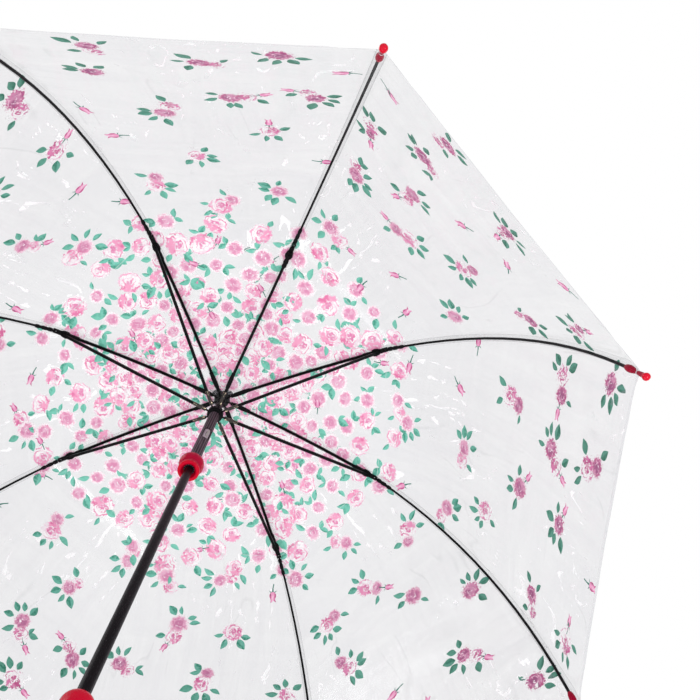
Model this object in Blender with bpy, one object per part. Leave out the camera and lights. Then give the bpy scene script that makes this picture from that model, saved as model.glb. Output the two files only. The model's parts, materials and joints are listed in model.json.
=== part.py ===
"""Clear dome umbrella with eight ribs, modelled open and upright.

Metres, +Z up. The shaft's axis is the Z axis and the crook handle's lowest point is at Z = 0.
Each rib, its stretcher and the shaft form a triangle with two equal sides: crown pin to elbow pin is as
long as elbow pin to runner pin. The runner's pins therefore travel straight along the shaft while the
ribs fold, and the elbow always stays half-way between crown and runner.
"""
import math

import bmesh
import bpy
from mathutils import Matrix, Vector

MM = 0.001

# ---- Driving dimensions -------------------------------------------------------------------------
RIB_COUNT = 8
GAP = 0.3 * MM                       # running gap between pieces that touch
JOIN = 2 * MM                        # how far parts of one piece run into each other
OVERRUN = 5 * MM                     # how far a cutter reaches past the face that it opens

SHAFT_RADIUS = 4.6 * MM
SHAFT_WALL = 0.7 * MM
CROWN_HEIGHT = 815 * MM              # level of the pins in the crown notch

GRIP_RADIUS = 11.2 * MM              # crook handle: a thick bent rod
GRIP_TOP = 134 * MM
CROOK_RADIUS = 30 * MM               # centre line of the bend
CROOK_TAIL = 16 * MM                 # straight end past the bend
SOCKET_DEPTH = 46 * MM               # shaft seat in the handle

PIN_CIRCLE = 9 * MM                  # radius of both rings of pins
LINK_LENGTH = 226 * MM               # crown pin to elbow pin, and elbow pin to runner pin
OPEN_SPREAD = 74 * MM                # crown pins down to runner pins when open
FOLD_ANGLE = math.radians(78)        # the ribs' swing from open to closed
ELBOW_DROP = 5 * MM                  # elbow pin below the rib's centre line

CHANNEL_WIDTH = 3.8 * MM             # rolled steel channel of ribs and stretchers
CHANNEL_HEIGHT = 3.2 * MM
CHANNEL_WALL = 0.75 * MM
EYE_RADIUS = 1.9 * MM                # flattened ends that swing on the wires
EYE_WIDTH = 1.6 * MM
EYE_HOLE = 0.85 * MM
WIRE_RADIUS = 0.45 * MM
ROOT_LENGTH = 21 * MM                # thick sleeve at each rib's root
ROOT_WIDTH = 4.4 * MM
ROOT_HEIGHT = 4.2 * MM
RIB_BOW = math.radians(9)            # the rib's slope changes by twice this between crown and elbow

CLIP_WIDTH = 5.2 * MM                # elbow clip that joins channel, stretcher and outer rod
CLIP_HEIGHT = 5.0 * MM
CLIP_BACK = 21 * MM                  # from the elbow pin towards the crown
CLIP_FRONT = 8 * MM                  # and towards the rim
LUG_RADIUS = 2.4 * MM
LUG_WIDTH = 1.6 * MM
FORK_CHEEK = 0.75 * MM               # thickness of one side of a fork
FORK_REACH = 4.6 * MM                # clip end to the rod's pin
RIVET_RADIUS = 0.55 * MM
CHEEK_RADIUS = 1.5 * MM              # stretcher's fork round the elbow pin
CHEEK_INSET = 0.08 * MM              # its cheeks lie inside the channel's wall by this
FORK_SETBACK = 1.4 * MM              # stretcher's channel back from the elbow's lug
STRETCHER_TANG = 7 * MM              # flat part from the stretcher's eye to its channel
SIDE_GAP = 0.35 * MM                 # beside an eye or a lug

ROD_RADIUS = 1.55 * MM               # outer rib: a round springy rod
ROD_LENGTH = 459 * MM                # from its pin to the cap's waist
ROD_ROOT_SLOPE = math.radians(31)
ROD_TIP_SLOPE = math.radians(87)
ROD_EARLY_BEND = math.radians(31)    # more bend near the elbow than near the rim
ROD_SEAT = 8 * MM                    # how far the rod enters its cap
ROD_STEPS = 14

EGG_LENGTH = 19 * MM                 # tip cap, rod side to waist
EGG_RADIUS = 3.4 * MM
EGG_LIP = 0.7 * MM                   # wall round the mouth that the rod enters
WAIST_RADIUS = 1.5 * MM
WAIST_HALF = 0.8 * MM                # half the waist's length
CONE_LENGTH = 15 * MM
CONE_RADIUS = 2.3 * MM
BALL_RADIUS = 3.5 * MM

NOTCH_RADIUS = 10.8 * MM             # crown notch
NOTCH_TOP = 3.4 * MM
NOTCH_BOTTOM = 4.2 * MM
NOTCH_NECK_RADIUS = 5.9 * MM
NOTCH_NECK = 11 * MM
SLOT_WIDTH = EYE_WIDTH + 2 * SIDE_GAP
SLOT_ROOF = 2.3 * MM                 # slot's top above the pins
GROOVE_HALF = 0.8 * MM               # half the width of the groove that holds a wire
GROOVE_FLOOR = 8.2 * MM              # radius that the groove is cut to

FILM_THICKNESS = 0.4 * MM
FILM_LIFT = 4.3 * MM                 # film above the ribs' centre lines
FILM_INNER_RADIUS = 11.6 * MM
SEAM_GAP = 0.4 * MM                  # between neighbouring panels
HEM_LIFT = 2.4 * MM                  # film above the cap's waist

TOPCAP_RADIUS = 17 * MM
TOPCAP_THICKNESS = 0.9 * MM
TOPCAP_EDGE = 1.2 * MM               # bevelled rim
FERRULE_LENGTH = 52 * MM
FERRULE_RADIUS = 6.6 * MM
FERRULE_COLLAR = 8 * MM              # straight part above the foot
FOOT_FLANGE = 1.2 * MM               # ring round the ferrule's foot
FOOT_HEIGHT = 2 * MM
FERRULE_TIP_RADIUS = 3.6 * MM
TIP_BEAD = 1.2 * MM                  # bead round the ferrule's tip
TIP_BEAD_HEIGHT = 6 * MM
TIP_BEVEL = 2 * MM
FERRULE_BORE = 28 * MM

SLEEVE_RADIUS = 6.8 * MM             # runner sleeve, over its flutes
FLUTE_COUNT = 16
FLUTE_DEPTH = 0.35 * MM
HUB_TOP = 4.2 * MM                   # above the runner's pins
HUB_SKIRT = 9 * MM                   # hub's cone, below the runner's pins
RUNNER_LENGTH = 218.5 * MM           # runner's pins down to the collar's lower face
COLLAR_LENGTH = 31 * MM
COLLAR_SEAT = 0.8 * MM               # sleeve's step down inside the collar
COLLAR_FLOOR = 5 * MM                # sleeve's end above the collar's lower face
BULB_RADIUS = 14 * MM
BULB_HALF = 9.5 * MM                 # half the bulb's height
BULB_DROP = 10 * MM                  # collar's top down to the bulb's middle
WAIST_LEVEL = 7 * MM                 # groove between bulb and ring, above the lower face
WAIST_BAND = 1.5 * MM
COLLAR_WAIST = 9.8 * MM
RING_RADIUS = 12 * MM
RING_HEIGHT = 4.5 * MM
RING_BEVEL = 1 * MM
RING_BORE = 8.2 * MM
BORE_TAPER = 1.2 * MM                # the bore narrows by this above the ring
BORE_DEPTH = 4 * MM
WINDOW_DROP = 99 * MM                # runner's pins down to the window's middle
WINDOW_LENGTH = 36 * MM
WINDOW_WIDTH = 9 * MM
CATCH_SIDE = 1.37                    # rib spacings round from rib 1

CATCH_WIDTH = 2.6 * MM
CATCH_REACH = 3.4 * MM               # nose beyond the tube
CATCH_NOSE = 17 * MM
NOSE_FLAT = 2 * MM                   # outer end of the nose
NOSE_HEM = 0.8 * MM                  # turned-in end past the nose
NOSE_SKIN = 1.2 * MM
CATCH_LEG = 26 * MM
CATCH_THICKNESS = 0.7 * MM
CATCH_PLAY = 1.6 * MM                # slot beyond each end of the nose
STOP_RADIUS = 0.6 * MM
STOP_INSET = 0.6 * MM                # stop pin's ends inside the sleeve's radius
STOP_RISE = 1.2 * MM                 # stop pin's middle above the open runner's hub

# ---- Fits worked out from the driving dimensions -----------------------------------------------
RIB_STEP = 2 * math.pi / RIB_COUNT
OPEN_ANGLE = math.acos(OPEN_SPREAD / 2 / LINK_LENGTH)       # rib chord from straight down
RUNNER_HEIGHT = CROWN_HEIGHT - OPEN_SPREAD
CLOSED_ANGLE = OPEN_ANGLE - FOLD_ANGLE
TRAVEL = 2 * LINK_LENGTH * math.cos(CLOSED_ANGLE) - OPEN_SPREAD
BORE_RADIUS = SHAFT_RADIUS + GAP
WINDOW_HEIGHT = RUNNER_HEIGHT - WINDOW_DROP
SHAFT_BOTTOM = GRIP_TOP - SOCKET_DEPTH + GAP
FERRULE_BASE = CROWN_HEIGHT + FILM_LIFT + FILM_THICKNESS + TOPCAP_THICKNESS + 3 * GAP
SHAFT_TOP = FERRULE_BASE + FERRULE_BORE - GAP
CATCH_AZIMUTH = CATCH_SIDE * RIB_STEP
TANG_LENGTH = math.hypot(NOTCH_RADIUS - PIN_CIRCLE, NOTCH_BOTTOM) + GAP    # clears the notch at any swing
COLLAR_TOP = COLLAR_LENGTH - RUNNER_LENGTH       # from the runner's pins, like the two below
SLEEVE_END = COLLAR_FLOOR - RUNNER_LENGTH

# A rib lies in the plane of its own X and Z: X outward, Z up, the crown pin at the origin.
ELBOW = Vector((LINK_LENGTH * math.sin(OPEN_ANGLE), 0, -OPEN_SPREAD / 2))
RIB_END = ELBOW + Vector((0, 0, ELBOW_DROP))
RIB_CHORD_SLOPE = math.atan2(-RIB_END.z, RIB_END.x)
CLIP_SLOPE = RIB_CHORD_SLOPE + RIB_BOW


def along(slope):
    """Unit vector in a rib's plane that points outward and down by this slope."""
    return Vector((math.cos(slope), 0, -math.sin(slope)))


def above(slope):
    """Unit vector in a rib's plane at a right angle to along(slope), on the upper side."""
    return Vector((math.sin(slope), 0, math.cos(slope)))


ROD_PIN = RIB_END + along(CLIP_SLOPE) * (CLIP_FRONT + FORK_REACH)


def rib_line(start, end, steps):
    """Points and slopes on the inner rib's arc, for distances start to end from the crown pin."""
    radius = RIB_END.length / (2 * math.sin(RIB_BOW))
    line = []
    for i in range(steps + 1):
        turn = (start + (end - start) * i / steps) / radius
        slope = RIB_CHORD_SLOPE - RIB_BOW + turn
        chord = 2 * radius * math.sin(turn / 2)
        line.append((along(slope - turn / 2) * chord, slope))
    return line


RIB_ARC = RIB_END.length / math.sin(RIB_BOW) * RIB_BOW


def rod_line(steps, fine=12):
    """Points and slopes on the outer rod, from its pin to the cap's waist, with the pin at the origin."""
    point = Vector((0, 0, 0))
    line = [(point.copy(), ROD_ROOT_SLOPE)]
    count = steps * fine
    for i in range(count):
        u = (i + 0.5) / count
        slope = (ROD_ROOT_SLOPE + (ROD_TIP_SLOPE - ROD_ROOT_SLOPE) * u
                 + ROD_EARLY_BEND * u * (1 - u))
        point = point + along(slope) * (ROD_LENGTH / count)
        if (i + 1) % fine == 0:
            line.append((point.copy(), slope))
    return line


# ---- Small modelling kit -----------------------------------------------------------------------
def clear_scene():
    for obj in list(bpy.data.objects):
        bpy.data.objects.remove(obj, do_unlink=True)


def material(name, colour, roughness, metallic=0.0, alpha=1.0):
    mat = bpy.data.materials.new(name)
    mat.use_nodes = True
    shader = mat.node_tree.nodes["Principled BSDF"]
    shader.inputs["Base Color"].default_value = (*colour, 1)
    shader.inputs["Roughness"].default_value = roughness
    shader.inputs["Metallic"].default_value = metallic
    shader.inputs["Alpha"].default_value = alpha
    mat.diffuse_color = (*colour, alpha)
    return mat


def mesh_from(bm, name, smooth=True):
    """Closes the book on a bmesh: merged, faces out, round faces smooth."""
    bmesh.ops.remove_doubles(bm, verts=bm.verts, dist=1e-7)
    bmesh.ops.recalc_face_normals(bm, faces=bm.faces)
    mesh = bpy.data.meshes.new(name)
    bm.to_mesh(mesh)
    bm.free()
    if smooth:
        mesh.shade_smooth()
        mesh.set_sharp_from_angle(angle=math.radians(35))
    return mesh


def place(name, mesh, mat, location=(0, 0, 0), spin=0.0, parent=None):
    """A new object that shows the mesh, turned by spin about Z."""
    obj = bpy.data.objects.new(name, mesh)
    bpy.context.scene.collection.objects.link(obj)
    if mat is not None and not mesh.materials:
        mesh.materials.append(mat)
    obj.location = location
    obj.rotation_euler = (0, 0, spin)
    obj.parent = parent
    return obj


def hide_cutter(obj):
    obj.hide_render = True
    obj.display_type = "WIRE"
    return obj


def boolean(obj, cutter, operation):
    mod = obj.modifiers.new(operation.title(), "BOOLEAN")
    mod.operation = operation
    mod.solver = "EXACT"
    mod.object = cutter
    return mod


def baked(meshes, operations, name):
    """One mesh from several: each later mesh is united with, or cut from, what came before."""
    base = place("work_base", meshes[0], None)
    helpers = [base]
    for mesh, operation in zip(meshes[1:], operations):
        helper = hide_cutter(place("work_part", mesh, None))
        helpers.append(helper)
        boolean(base, helper, operation)
    graph = bpy.context.evaluated_depsgraph_get()
    result = bpy.data.meshes.new_from_object(base.evaluated_get(graph))
    result.name = name
    for helper in helpers:
        old = helper.data
        bpy.data.objects.remove(helper, do_unlink=True)
        bpy.data.meshes.remove(old)
    result.shade_smooth()
    result.set_sharp_from_angle(angle=math.radians(35))
    return result


def turned(name, outline, segments=32, axis="Z"):
    """A closed outline of (radius, height) points, spun about the axis."""
    bm = bmesh.new()
    verts = [bm.verts.new((r, 0, z)) for r, z in outline]
    edges = [bm.edges.new((a, b)) for a, b in zip(verts, verts[1:] + verts[:1])
             if a.co.x > 0 or b.co.x > 0]
    bmesh.ops.spin(bm, geom=verts + edges, cent=(0, 0, 0), axis=(0, 0, 1),
                   angle=2 * math.pi, steps=segments, use_merge=True)
    bmesh.ops.remove_doubles(bm, verts=bm.verts, dist=1e-7)
    if axis == "Y":
        bmesh.ops.rotate(bm, verts=bm.verts, matrix=Matrix.Rotation(math.pi / 2, 3, "X"))
    if axis == "X":
        bmesh.ops.rotate(bm, verts=bm.verts, matrix=Matrix.Rotation(math.pi / 2, 3, "Y"))
    return mesh_from(bm, name)


def arc(radius, centre, start, end, steps):
    """(radius, height) points on an arc about a centre (r, z), angles in degrees from +r."""
    points = []
    for i in range(steps + 1):
        angle = math.radians(start + (end - start) * i / steps)
        points.append((centre[0] + radius * math.cos(angle), centre[1] + radius * math.sin(angle)))
    return points


def lofted(name, loops):
    """Skin over closed loops of equally many points, capped at both ends."""
    bm = bmesh.new()
    rings = [[bm.verts.new(p) for p in loop] for loop in loops]
    for low, high in zip(rings, rings[1:]):
        for i in range(len(low)):
            j = (i + 1) % len(low)
            bm.faces.new((low[i], low[j], high[j], high[i]))
    bm.faces.new(list(reversed(rings[0])))
    bm.faces.new(rings[-1])
    return mesh_from(bm, name)


def swept(name, line, section):
    """A section of (side, up) points carried along a line of (point, slope) in a rib's plane."""
    loops = []
    for point, slope in line:
        loops.append([point + Vector((0, side, 0)) + above(slope) * up for side, up in section])
    return lofted(name, loops)


def box_section(width, height, lift=0.0):
    half, tall = width / 2, height / 2
    return [(-half, lift - tall), (half, lift - tall), (half, lift + tall), (-half, lift + tall)]


def channel_section(width, height, wall, mouth=-1):
    """A U; its mouth is on the lower side for -1 and on the upper side for +1."""
    half, tall, inner = width / 2, height / 2, width / 2 - wall
    floor = tall - wall
    outline = [(-half, tall), (-half, -tall), (-inner, -tall), (-inner, floor),
               (inner, floor), (inner, -tall), (half, -tall), (half, tall)]
    return [(side, -mouth * up) for side, up in outline]


def round_section(radius, sides=6):
    return [(radius * math.cos(2 * math.pi * (i + 0.5) / sides),
             radius * math.sin(2 * math.pi * (i + 0.5) / sides)) for i in range(sides)]


def barrel(name, radius, width, centre, sides=10):
    """A short cylinder across a rib's plane."""
    bm = bmesh.new()
    bmesh.ops.create_cone(bm, cap_ends=True, segments=sides, radius1=radius, radius2=radius,
                          depth=width, matrix=Matrix.Translation(centre)
                          @ Matrix.Rotation(math.pi / 2, 4, "X"))
    return mesh_from(bm, name)


def block(name, low, high):
    bm = bmesh.new()
    bmesh.ops.create_cube(bm, size=1)
    for vert in bm.verts:
        for i in range(3):
            vert.co[i] = (low[i] + high[i]) / 2 + vert.co[i] * (high[i] - low[i])
    return mesh_from(bm, name, smooth=False)


def straight(start, end, slope):
    return [(start, slope), (end, slope)]


# ---- Shaft, handle, ferrule and crown ----------------------------------------------------------
def radial_block(name, width, inner, outer, low, high):
    """A box that points outward along +X."""
    return block(name, (inner, -width / 2, low), (outer, width / 2, high))


def build_shaft(mat, top_nose, bottom_nose, stop_height):
    inner = SHAFT_RADIUS - SHAFT_WALL
    outline = [(inner, SHAFT_BOTTOM), (SHAFT_RADIUS, SHAFT_BOTTOM),
               (SHAFT_RADIUS, SHAFT_TOP), (inner, SHAFT_TOP)]
    shaft = place("shaft_tube", turned("shaft_tube", outline, 24), mat)
    reach = SHAFT_RADIUS + CATCH_REACH
    slots = (("top", top_nose, CATCH_AZIMUTH), ("bottom", bottom_nose, CATCH_AZIMUTH + math.pi))
    for label, height, spin in slots:
        half = CATCH_NOSE / 2 + CATCH_PLAY
        slot = radial_block(label + "_slot", CATCH_WIDTH + 2 * SIDE_GAP, inner / 2, reach,
                            height - half, height + half)
        boolean(shaft, hide_cutter(place(label + "_slot", slot, None, spin=spin)), "DIFFERENCE")
    hole = barrel("stop_hole", STOP_RADIUS + GAP / 2, 4 * SHAFT_RADIUS, (0, 0, stop_height), 12)
    boolean(shaft, hide_cutter(place("stop_hole", hole, None, spin=CATCH_AZIMUTH)), "DIFFERENCE")
    return shaft


def build_stop_pin(mat, stop_height):
    """Cross pin that ends the runner's way up."""
    length = 2 * (SLEEVE_RADIUS - STOP_INSET)
    pin = barrel("top_stop", STOP_RADIUS, length, (0, 0, stop_height), 10)
    return place("top_stop", pin, mat, spin=CATCH_AZIMUTH)


def build_catch(name, mat, nose_height, spin, shoulder):
    """A bent spring strip in the tube; shoulder is +1 for a nose with its flat end up, -1 for down."""
    inside = SHAFT_RADIUS - SHAFT_WALL - 2 * GAP
    tip = SHAFT_RADIUS + CATCH_REACH
    half = CATCH_NOSE / 2
    back = inside - CATCH_THICKNESS
    side = [(back, -half - CATCH_LEG), (inside, -half - CATCH_LEG), (inside, -half),
            (tip, half - NOSE_FLAT), (tip, half), (inside, half), (inside, half + NOSE_HEM),
            (back, half + NOSE_HEM), (back, half - CATCH_THICKNESS),
            (tip - NOSE_SKIN, half - CATCH_THICKNESS), (tip - NOSE_SKIN, half - NOSE_FLAT), (back, -half)]
    loops = [[Vector((x, y, shoulder * z)) for x, z in side]
             for y in (-CATCH_WIDTH / 2, CATCH_WIDTH / 2)]
    hinge_z = nose_height - shoulder * (half + CATCH_LEG)
    mesh = lofted(name, loops)
    mesh.transform(Matrix.Translation((-inside, 0, shoulder * (half + CATCH_LEG))))
    location = (inside * math.cos(spin), inside * math.sin(spin), hinge_z)
    return place(name, mesh, mat, location, spin)


def build_handle(mat):
    """Crook handle: a round rod bent into a hook, domed at both ends, with the shaft's seat."""
    sides, bend_steps, dome_steps = 16, 10, 3
    low = CROOK_RADIUS + GRIP_RADIUS
    tail_top = low + CROOK_TAIL
    dome = []                                   # (depth below the dome's top, radius), from the top
    for i in range(dome_steps + 1):
        angle = math.pi / 2 * (i + 0.35) / (dome_steps + 0.35)
        dome.append((GRIP_RADIUS * (1 - math.cos(angle)), GRIP_RADIUS * math.sin(angle)))
    line = [(Vector((0, 0, GRIP_TOP - depth)), 0.0, radius) for depth, radius in dome]
    for i in range(bend_steps + 1):
        turn = math.pi * i / bend_steps
        line.append((Vector((CROOK_RADIUS * (1 - math.cos(turn)), 0, low - CROOK_RADIUS * math.sin(turn))),
                     turn, GRIP_RADIUS))
    for depth, radius in reversed(dome):
        line.append((Vector((2 * CROOK_RADIUS, 0, tail_top - depth)), math.pi, radius))
    loops = []
    for centre, turn, radius in line:
        out = Vector((math.cos(turn), 0, math.sin(turn)))
        loops.append([centre + out * (radius * math.cos(2 * math.pi * i / sides))
                      + Vector((0, radius * math.sin(2 * math.pi * i / sides), 0)) for i in range(sides)])
    handle = place("handle", lofted("handle", loops), mat)
    seat = [(0, GRIP_TOP - SOCKET_DEPTH), (BORE_RADIUS, GRIP_TOP - SOCKET_DEPTH),
            (BORE_RADIUS, GRIP_TOP + OVERRUN), (0, GRIP_TOP + OVERRUN)]
    boolean(handle, hide_cutter(place("handle_seat", turned("handle_seat", seat, 24), None)), "DIFFERENCE")
    return handle


def build_ferrule(mat):
    base, top = FERRULE_BASE, FERRULE_BASE + FERRULE_LENGTH
    foot, bead = FERRULE_RADIUS + FOOT_FLANGE, FERRULE_TIP_RADIUS + TIP_BEAD
    outline = [(BORE_RADIUS, base), (foot, base), (foot, base + FOOT_HEIGHT),
               (FERRULE_RADIUS, base + FOOT_HEIGHT + FOOT_FLANGE), (FERRULE_RADIUS, base + FERRULE_COLLAR),
               (FERRULE_TIP_RADIUS + TIP_BEAD / 2, top - TIP_BEAD_HEIGHT - TIP_BEVEL),
               (bead, top - TIP_BEAD_HEIGHT), (bead, top - TIP_BEVEL), (FERRULE_TIP_RADIUS, top),
               (0, top), (0, base + FERRULE_BORE), (BORE_RADIUS, base + FERRULE_BORE)]
    return place("ferrule", turned("ferrule", outline, 24), mat)


def build_top_cap(mat):
    low = CROWN_HEIGHT + FILM_LIFT + FILM_THICKNESS + 2 * GAP
    flat, thick = TOPCAP_RADIUS - TOPCAP_EDGE, TOPCAP_THICKNESS
    outline = [(BORE_RADIUS, low), (flat, low), (TOPCAP_RADIUS, low + thick / 2),
               (flat, low + thick), (BORE_RADIUS, low + thick)]
    return place("canopy_cap", turned("canopy_cap", outline, 28), mat)


def slotted_disc_cutter(name, inner, outer, low, high):
    """All the radial slots of one notch, as one cutter."""
    bm = bmesh.new()
    for k in range(RIB_COUNT):
        turn = Matrix.Rotation(k * RIB_STEP, 4, "Z")
        size = Matrix.Diagonal((outer - inner, SLOT_WIDTH, high - low, 1))
        shift = Matrix.Translation(((inner + outer) / 2, 0, (low + high) / 2))
        bmesh.ops.create_cube(bm, size=1, matrix=turn @ shift @ size)
    return mesh_from(bm, name, smooth=False)


def build_crown_notch(mat):
    """Toothed disc on the shaft: a slot for each rib and a groove for the wire."""
    outline = [(BORE_RADIUS, -NOTCH_NECK), (NOTCH_NECK_RADIUS, -NOTCH_NECK),
               (NOTCH_NECK_RADIUS, -NOTCH_BOTTOM), (NOTCH_RADIUS, -NOTCH_BOTTOM),
               (NOTCH_RADIUS, -GROOVE_HALF), (GROOVE_FLOOR, -GROOVE_HALF),
               (GROOVE_FLOOR, GROOVE_HALF), (NOTCH_RADIUS, GROOVE_HALF),
               (NOTCH_RADIUS, NOTCH_TOP), (BORE_RADIUS, NOTCH_TOP)]
    notch = place("crown_notch", turned("crown_notch", outline, 32), mat, (0, 0, CROWN_HEIGHT))
    slots = slotted_disc_cutter("crown_slots", PIN_CIRCLE - EYE_RADIUS - GAP, NOTCH_RADIUS + OVERRUN,
                                -NOTCH_BOTTOM - GAP, SLOT_ROOF)
    boolean(notch, hide_cutter(place("crown_slots", slots, None, (0, 0, CROWN_HEIGHT))), "DIFFERENCE")
    return notch


def wire_ring(name, mat, height, sides=5, segments=28):
    outline = [(PIN_CIRCLE + r, z) for r, z in round_section(WIRE_RADIUS, sides)]
    return place(name, turned(name, outline, segments), mat, (0, 0, height))


# ---- Runner ------------------------------------------------------------------------------------
def build_runner(mat):
    """Fluted sleeve with a slotted hub on top and a window for the catch on two sides."""
    hub = [(BORE_RADIUS, -HUB_SKIRT), (SLEEVE_RADIUS - FLUTE_DEPTH, -HUB_SKIRT), (NOTCH_RADIUS, -HUB_TOP),
           (NOTCH_RADIUS, -GROOVE_HALF), (GROOVE_FLOOR, -GROOVE_HALF), (GROOVE_FLOOR, GROOVE_HALF),
           (NOTCH_RADIUS, GROOVE_HALF), (NOTCH_RADIUS, HUB_TOP), (BORE_RADIUS, HUB_TOP)]
    count = 2 * FLUTE_COUNT
    top, seat = JOIN - HUB_SKIRT, SLEEVE_RADIUS - COLLAR_SEAT
    bm = bmesh.new()
    rings = []
    for height, wavy, radius in ((top, True, SLEEVE_RADIUS), (COLLAR_TOP + GAP, True, SLEEVE_RADIUS),
                                 (COLLAR_TOP + GAP, False, seat), (SLEEVE_END, False, seat),
                                 (SLEEVE_END, False, BORE_RADIUS), (top, False, BORE_RADIUS)):
        ring = []
        for i in range(count):
            angle = 2 * math.pi * (i + 0.5) / count
            r = radius - (FLUTE_DEPTH if wavy and i % 2 else 0)
            ring.append(bm.verts.new((r * math.cos(angle), r * math.sin(angle), height)))
        rings.append(ring)
    for ring, after in zip(rings, rings[1:] + rings[:1]):
        for i in range(count):
            j = (i + 1) % count
            bm.faces.new((ring[i], ring[j], after[j], after[i]))
    sleeve = mesh_from(bm, "runner_sleeve")
    slots = slotted_disc_cutter("runner_slots", PIN_CIRCLE - EYE_RADIUS - GAP, NOTCH_RADIUS + OVERRUN,
                                -EYE_RADIUS - 2 * GAP, HUB_TOP + OVERRUN)
    half_width, half_length = WINDOW_WIDTH / 2, WINDOW_LENGTH / 2
    window = block("runner_window", (-2 * SLEEVE_RADIUS, -half_width, -WINDOW_DROP - half_length),
                   (2 * SLEEVE_RADIUS, half_width, -WINDOW_DROP + half_length))
    window.transform(Matrix.Rotation(CATCH_AZIMUTH, 4, "Z"))
    mesh = baked([sleeve, turned("runner_hub", hub, 32), slots, window],
                 ["UNION", "DIFFERENCE", "DIFFERENCE"], "runner")
    return place("runner", mesh, mat, (0, 0, RUNNER_HEIGHT))


def build_collar(mat):
    """Thumb collar at the sleeve's lower end: a bulb, a groove and a flared ring."""
    bore = SLEEVE_RADIUS - COLLAR_SEAT + GAP
    outline = [(bore, COLLAR_LENGTH)]
    bulb = COLLAR_LENGTH - BULB_DROP
    outline += [(bore + (BULB_RADIUS - bore) * math.sin(math.radians(a)),
                 bulb + BULB_HALF * math.cos(math.radians(a))) for a in range(22, 151, 21)]
    outline += [(COLLAR_WAIST, WAIST_LEVEL + WAIST_BAND), (COLLAR_WAIST, WAIST_LEVEL),
                (RING_RADIUS, RING_HEIGHT), (RING_RADIUS, RING_BEVEL), (RING_RADIUS - RING_BEVEL, 0),
                (RING_BORE, 0), (RING_BORE - BORE_TAPER, BORE_DEPTH), (bore, BORE_DEPTH + GAP)]
    return place("runner_collar", turned("runner_collar", outline, 28), mat,
                 (0, 0, RUNNER_HEIGHT - RUNNER_LENGTH))


# ---- Ribs, stretchers, rods and caps -----------------------------------------------------------
def tongue(name, centre, slope, radius, length, width, side=0.0, steps=5):
    """A flat plate across a rib's plane: round end at centre, straight tail along the slope."""
    outline = []
    for i in range(steps + 1):
        angle = math.pi / 2 + math.pi * i / steps
        outline.append(centre + along(slope) * (radius * math.cos(angle))
                       + above(slope) * (radius * math.sin(angle)))
    outline.append(centre + along(slope) * length - above(slope) * radius)
    outline.append(centre + along(slope) * length + above(slope) * radius)
    loops = [[point + Vector((0, side + half, 0)) for point in outline] for half in (-width / 2, width / 2)]
    return lofted(name, loops)


def rib_mesh():
    """Eye, root sleeve, channel and elbow clip with its lug and rod fork."""
    start_slope = RIB_CHORD_SLOPE - RIB_BOW
    eye = tongue("eye", Vector((0, 0, 0)), start_slope, EYE_RADIUS, TANG_LENGTH + JOIN, EYE_WIDTH)
    root_end = TANG_LENGTH + ROOT_LENGTH
    root = swept("root", rib_line(TANG_LENGTH, root_end, 2), box_section(ROOT_WIDTH, ROOT_HEIGHT))
    channel = swept("channel", rib_line(root_end - JOIN, RIB_ARC - CLIP_BACK + JOIN, 6),
                    channel_section(CHANNEL_WIDTH, CHANNEL_HEIGHT, CHANNEL_WALL))
    out = along(CLIP_SLOPE)
    back, front = RIB_END - out * CLIP_BACK, RIB_END + out * CLIP_FRONT
    clip = swept("clip", straight(back, front, CLIP_SLOPE), box_section(CLIP_WIDTH, CLIP_HEIGHT))
    lug = tongue("lug", ELBOW, -math.pi / 2, LUG_RADIUS, ELBOW_DROP, LUG_WIDTH)
    cheek_y = EYE_WIDTH / 2 + SIDE_GAP + FORK_CHEEK / 2
    parts = [clip, channel, root, eye, lug]
    for side in (-1, 1):
        parts.append(tongue("cheek", ROD_PIN, CLIP_SLOPE + math.pi, EYE_RADIUS, FORK_REACH + JOIN,
                            FORK_CHEEK, side * cheek_y))
    parts.append(barrel("rod_pin", RIVET_RADIUS, 2 * cheek_y, ROD_PIN, 8))
    cuts = [barrel("eye_hole", EYE_HOLE, 3 * EYE_WIDTH, (0, 0, 0), 10),
            barrel("lug_hole", EYE_HOLE, 3 * LUG_WIDTH, ELBOW, 10)]
    operations = ["UNION"] * (len(parts) - 1) + ["DIFFERENCE"] * len(cuts)
    return baked(parts + cuts, operations, "rib_inner")


def stretcher_mesh():
    """Channel from the runner's eye to the fork at the elbow, with the elbow pin at the origin."""
    slope = -math.atan2(OPEN_SPREAD / 2, ELBOW.x)        # rises outward
    out = along(slope)
    runner_pin = -out * LINK_LENGTH
    eye = tongue("eye", runner_pin, slope, EYE_RADIUS, STRETCHER_TANG + JOIN, EYE_WIDTH)
    fork_start = LUG_RADIUS + FORK_SETBACK
    channel = swept("channel", straight(runner_pin + out * STRETCHER_TANG, -out * fork_start, slope),
                    channel_section(CHANNEL_WIDTH, CHANNEL_HEIGHT, CHANNEL_WALL, mouth=1))
    cheek_y = (CHANNEL_WIDTH - CHANNEL_WALL) / 2
    parts = [channel, eye]
    for side in (-1, 1):
        parts.append(tongue("cheek", Vector((0, 0, 0)), slope + math.pi, CHEEK_RADIUS,
                            fork_start + JOIN, CHANNEL_WALL - 2 * CHEEK_INSET, side * cheek_y))
    parts.append(barrel("elbow_pin", RIVET_RADIUS, 2 * cheek_y, (0, 0, 0), 8))
    cuts = [barrel("eye_hole", EYE_HOLE, 3 * EYE_WIDTH, runner_pin, 10)]
    operations = ["UNION"] * (len(parts) - 1) + ["DIFFERENCE"] * len(cuts)
    return baked(parts + cuts, operations, "stretcher")


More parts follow.
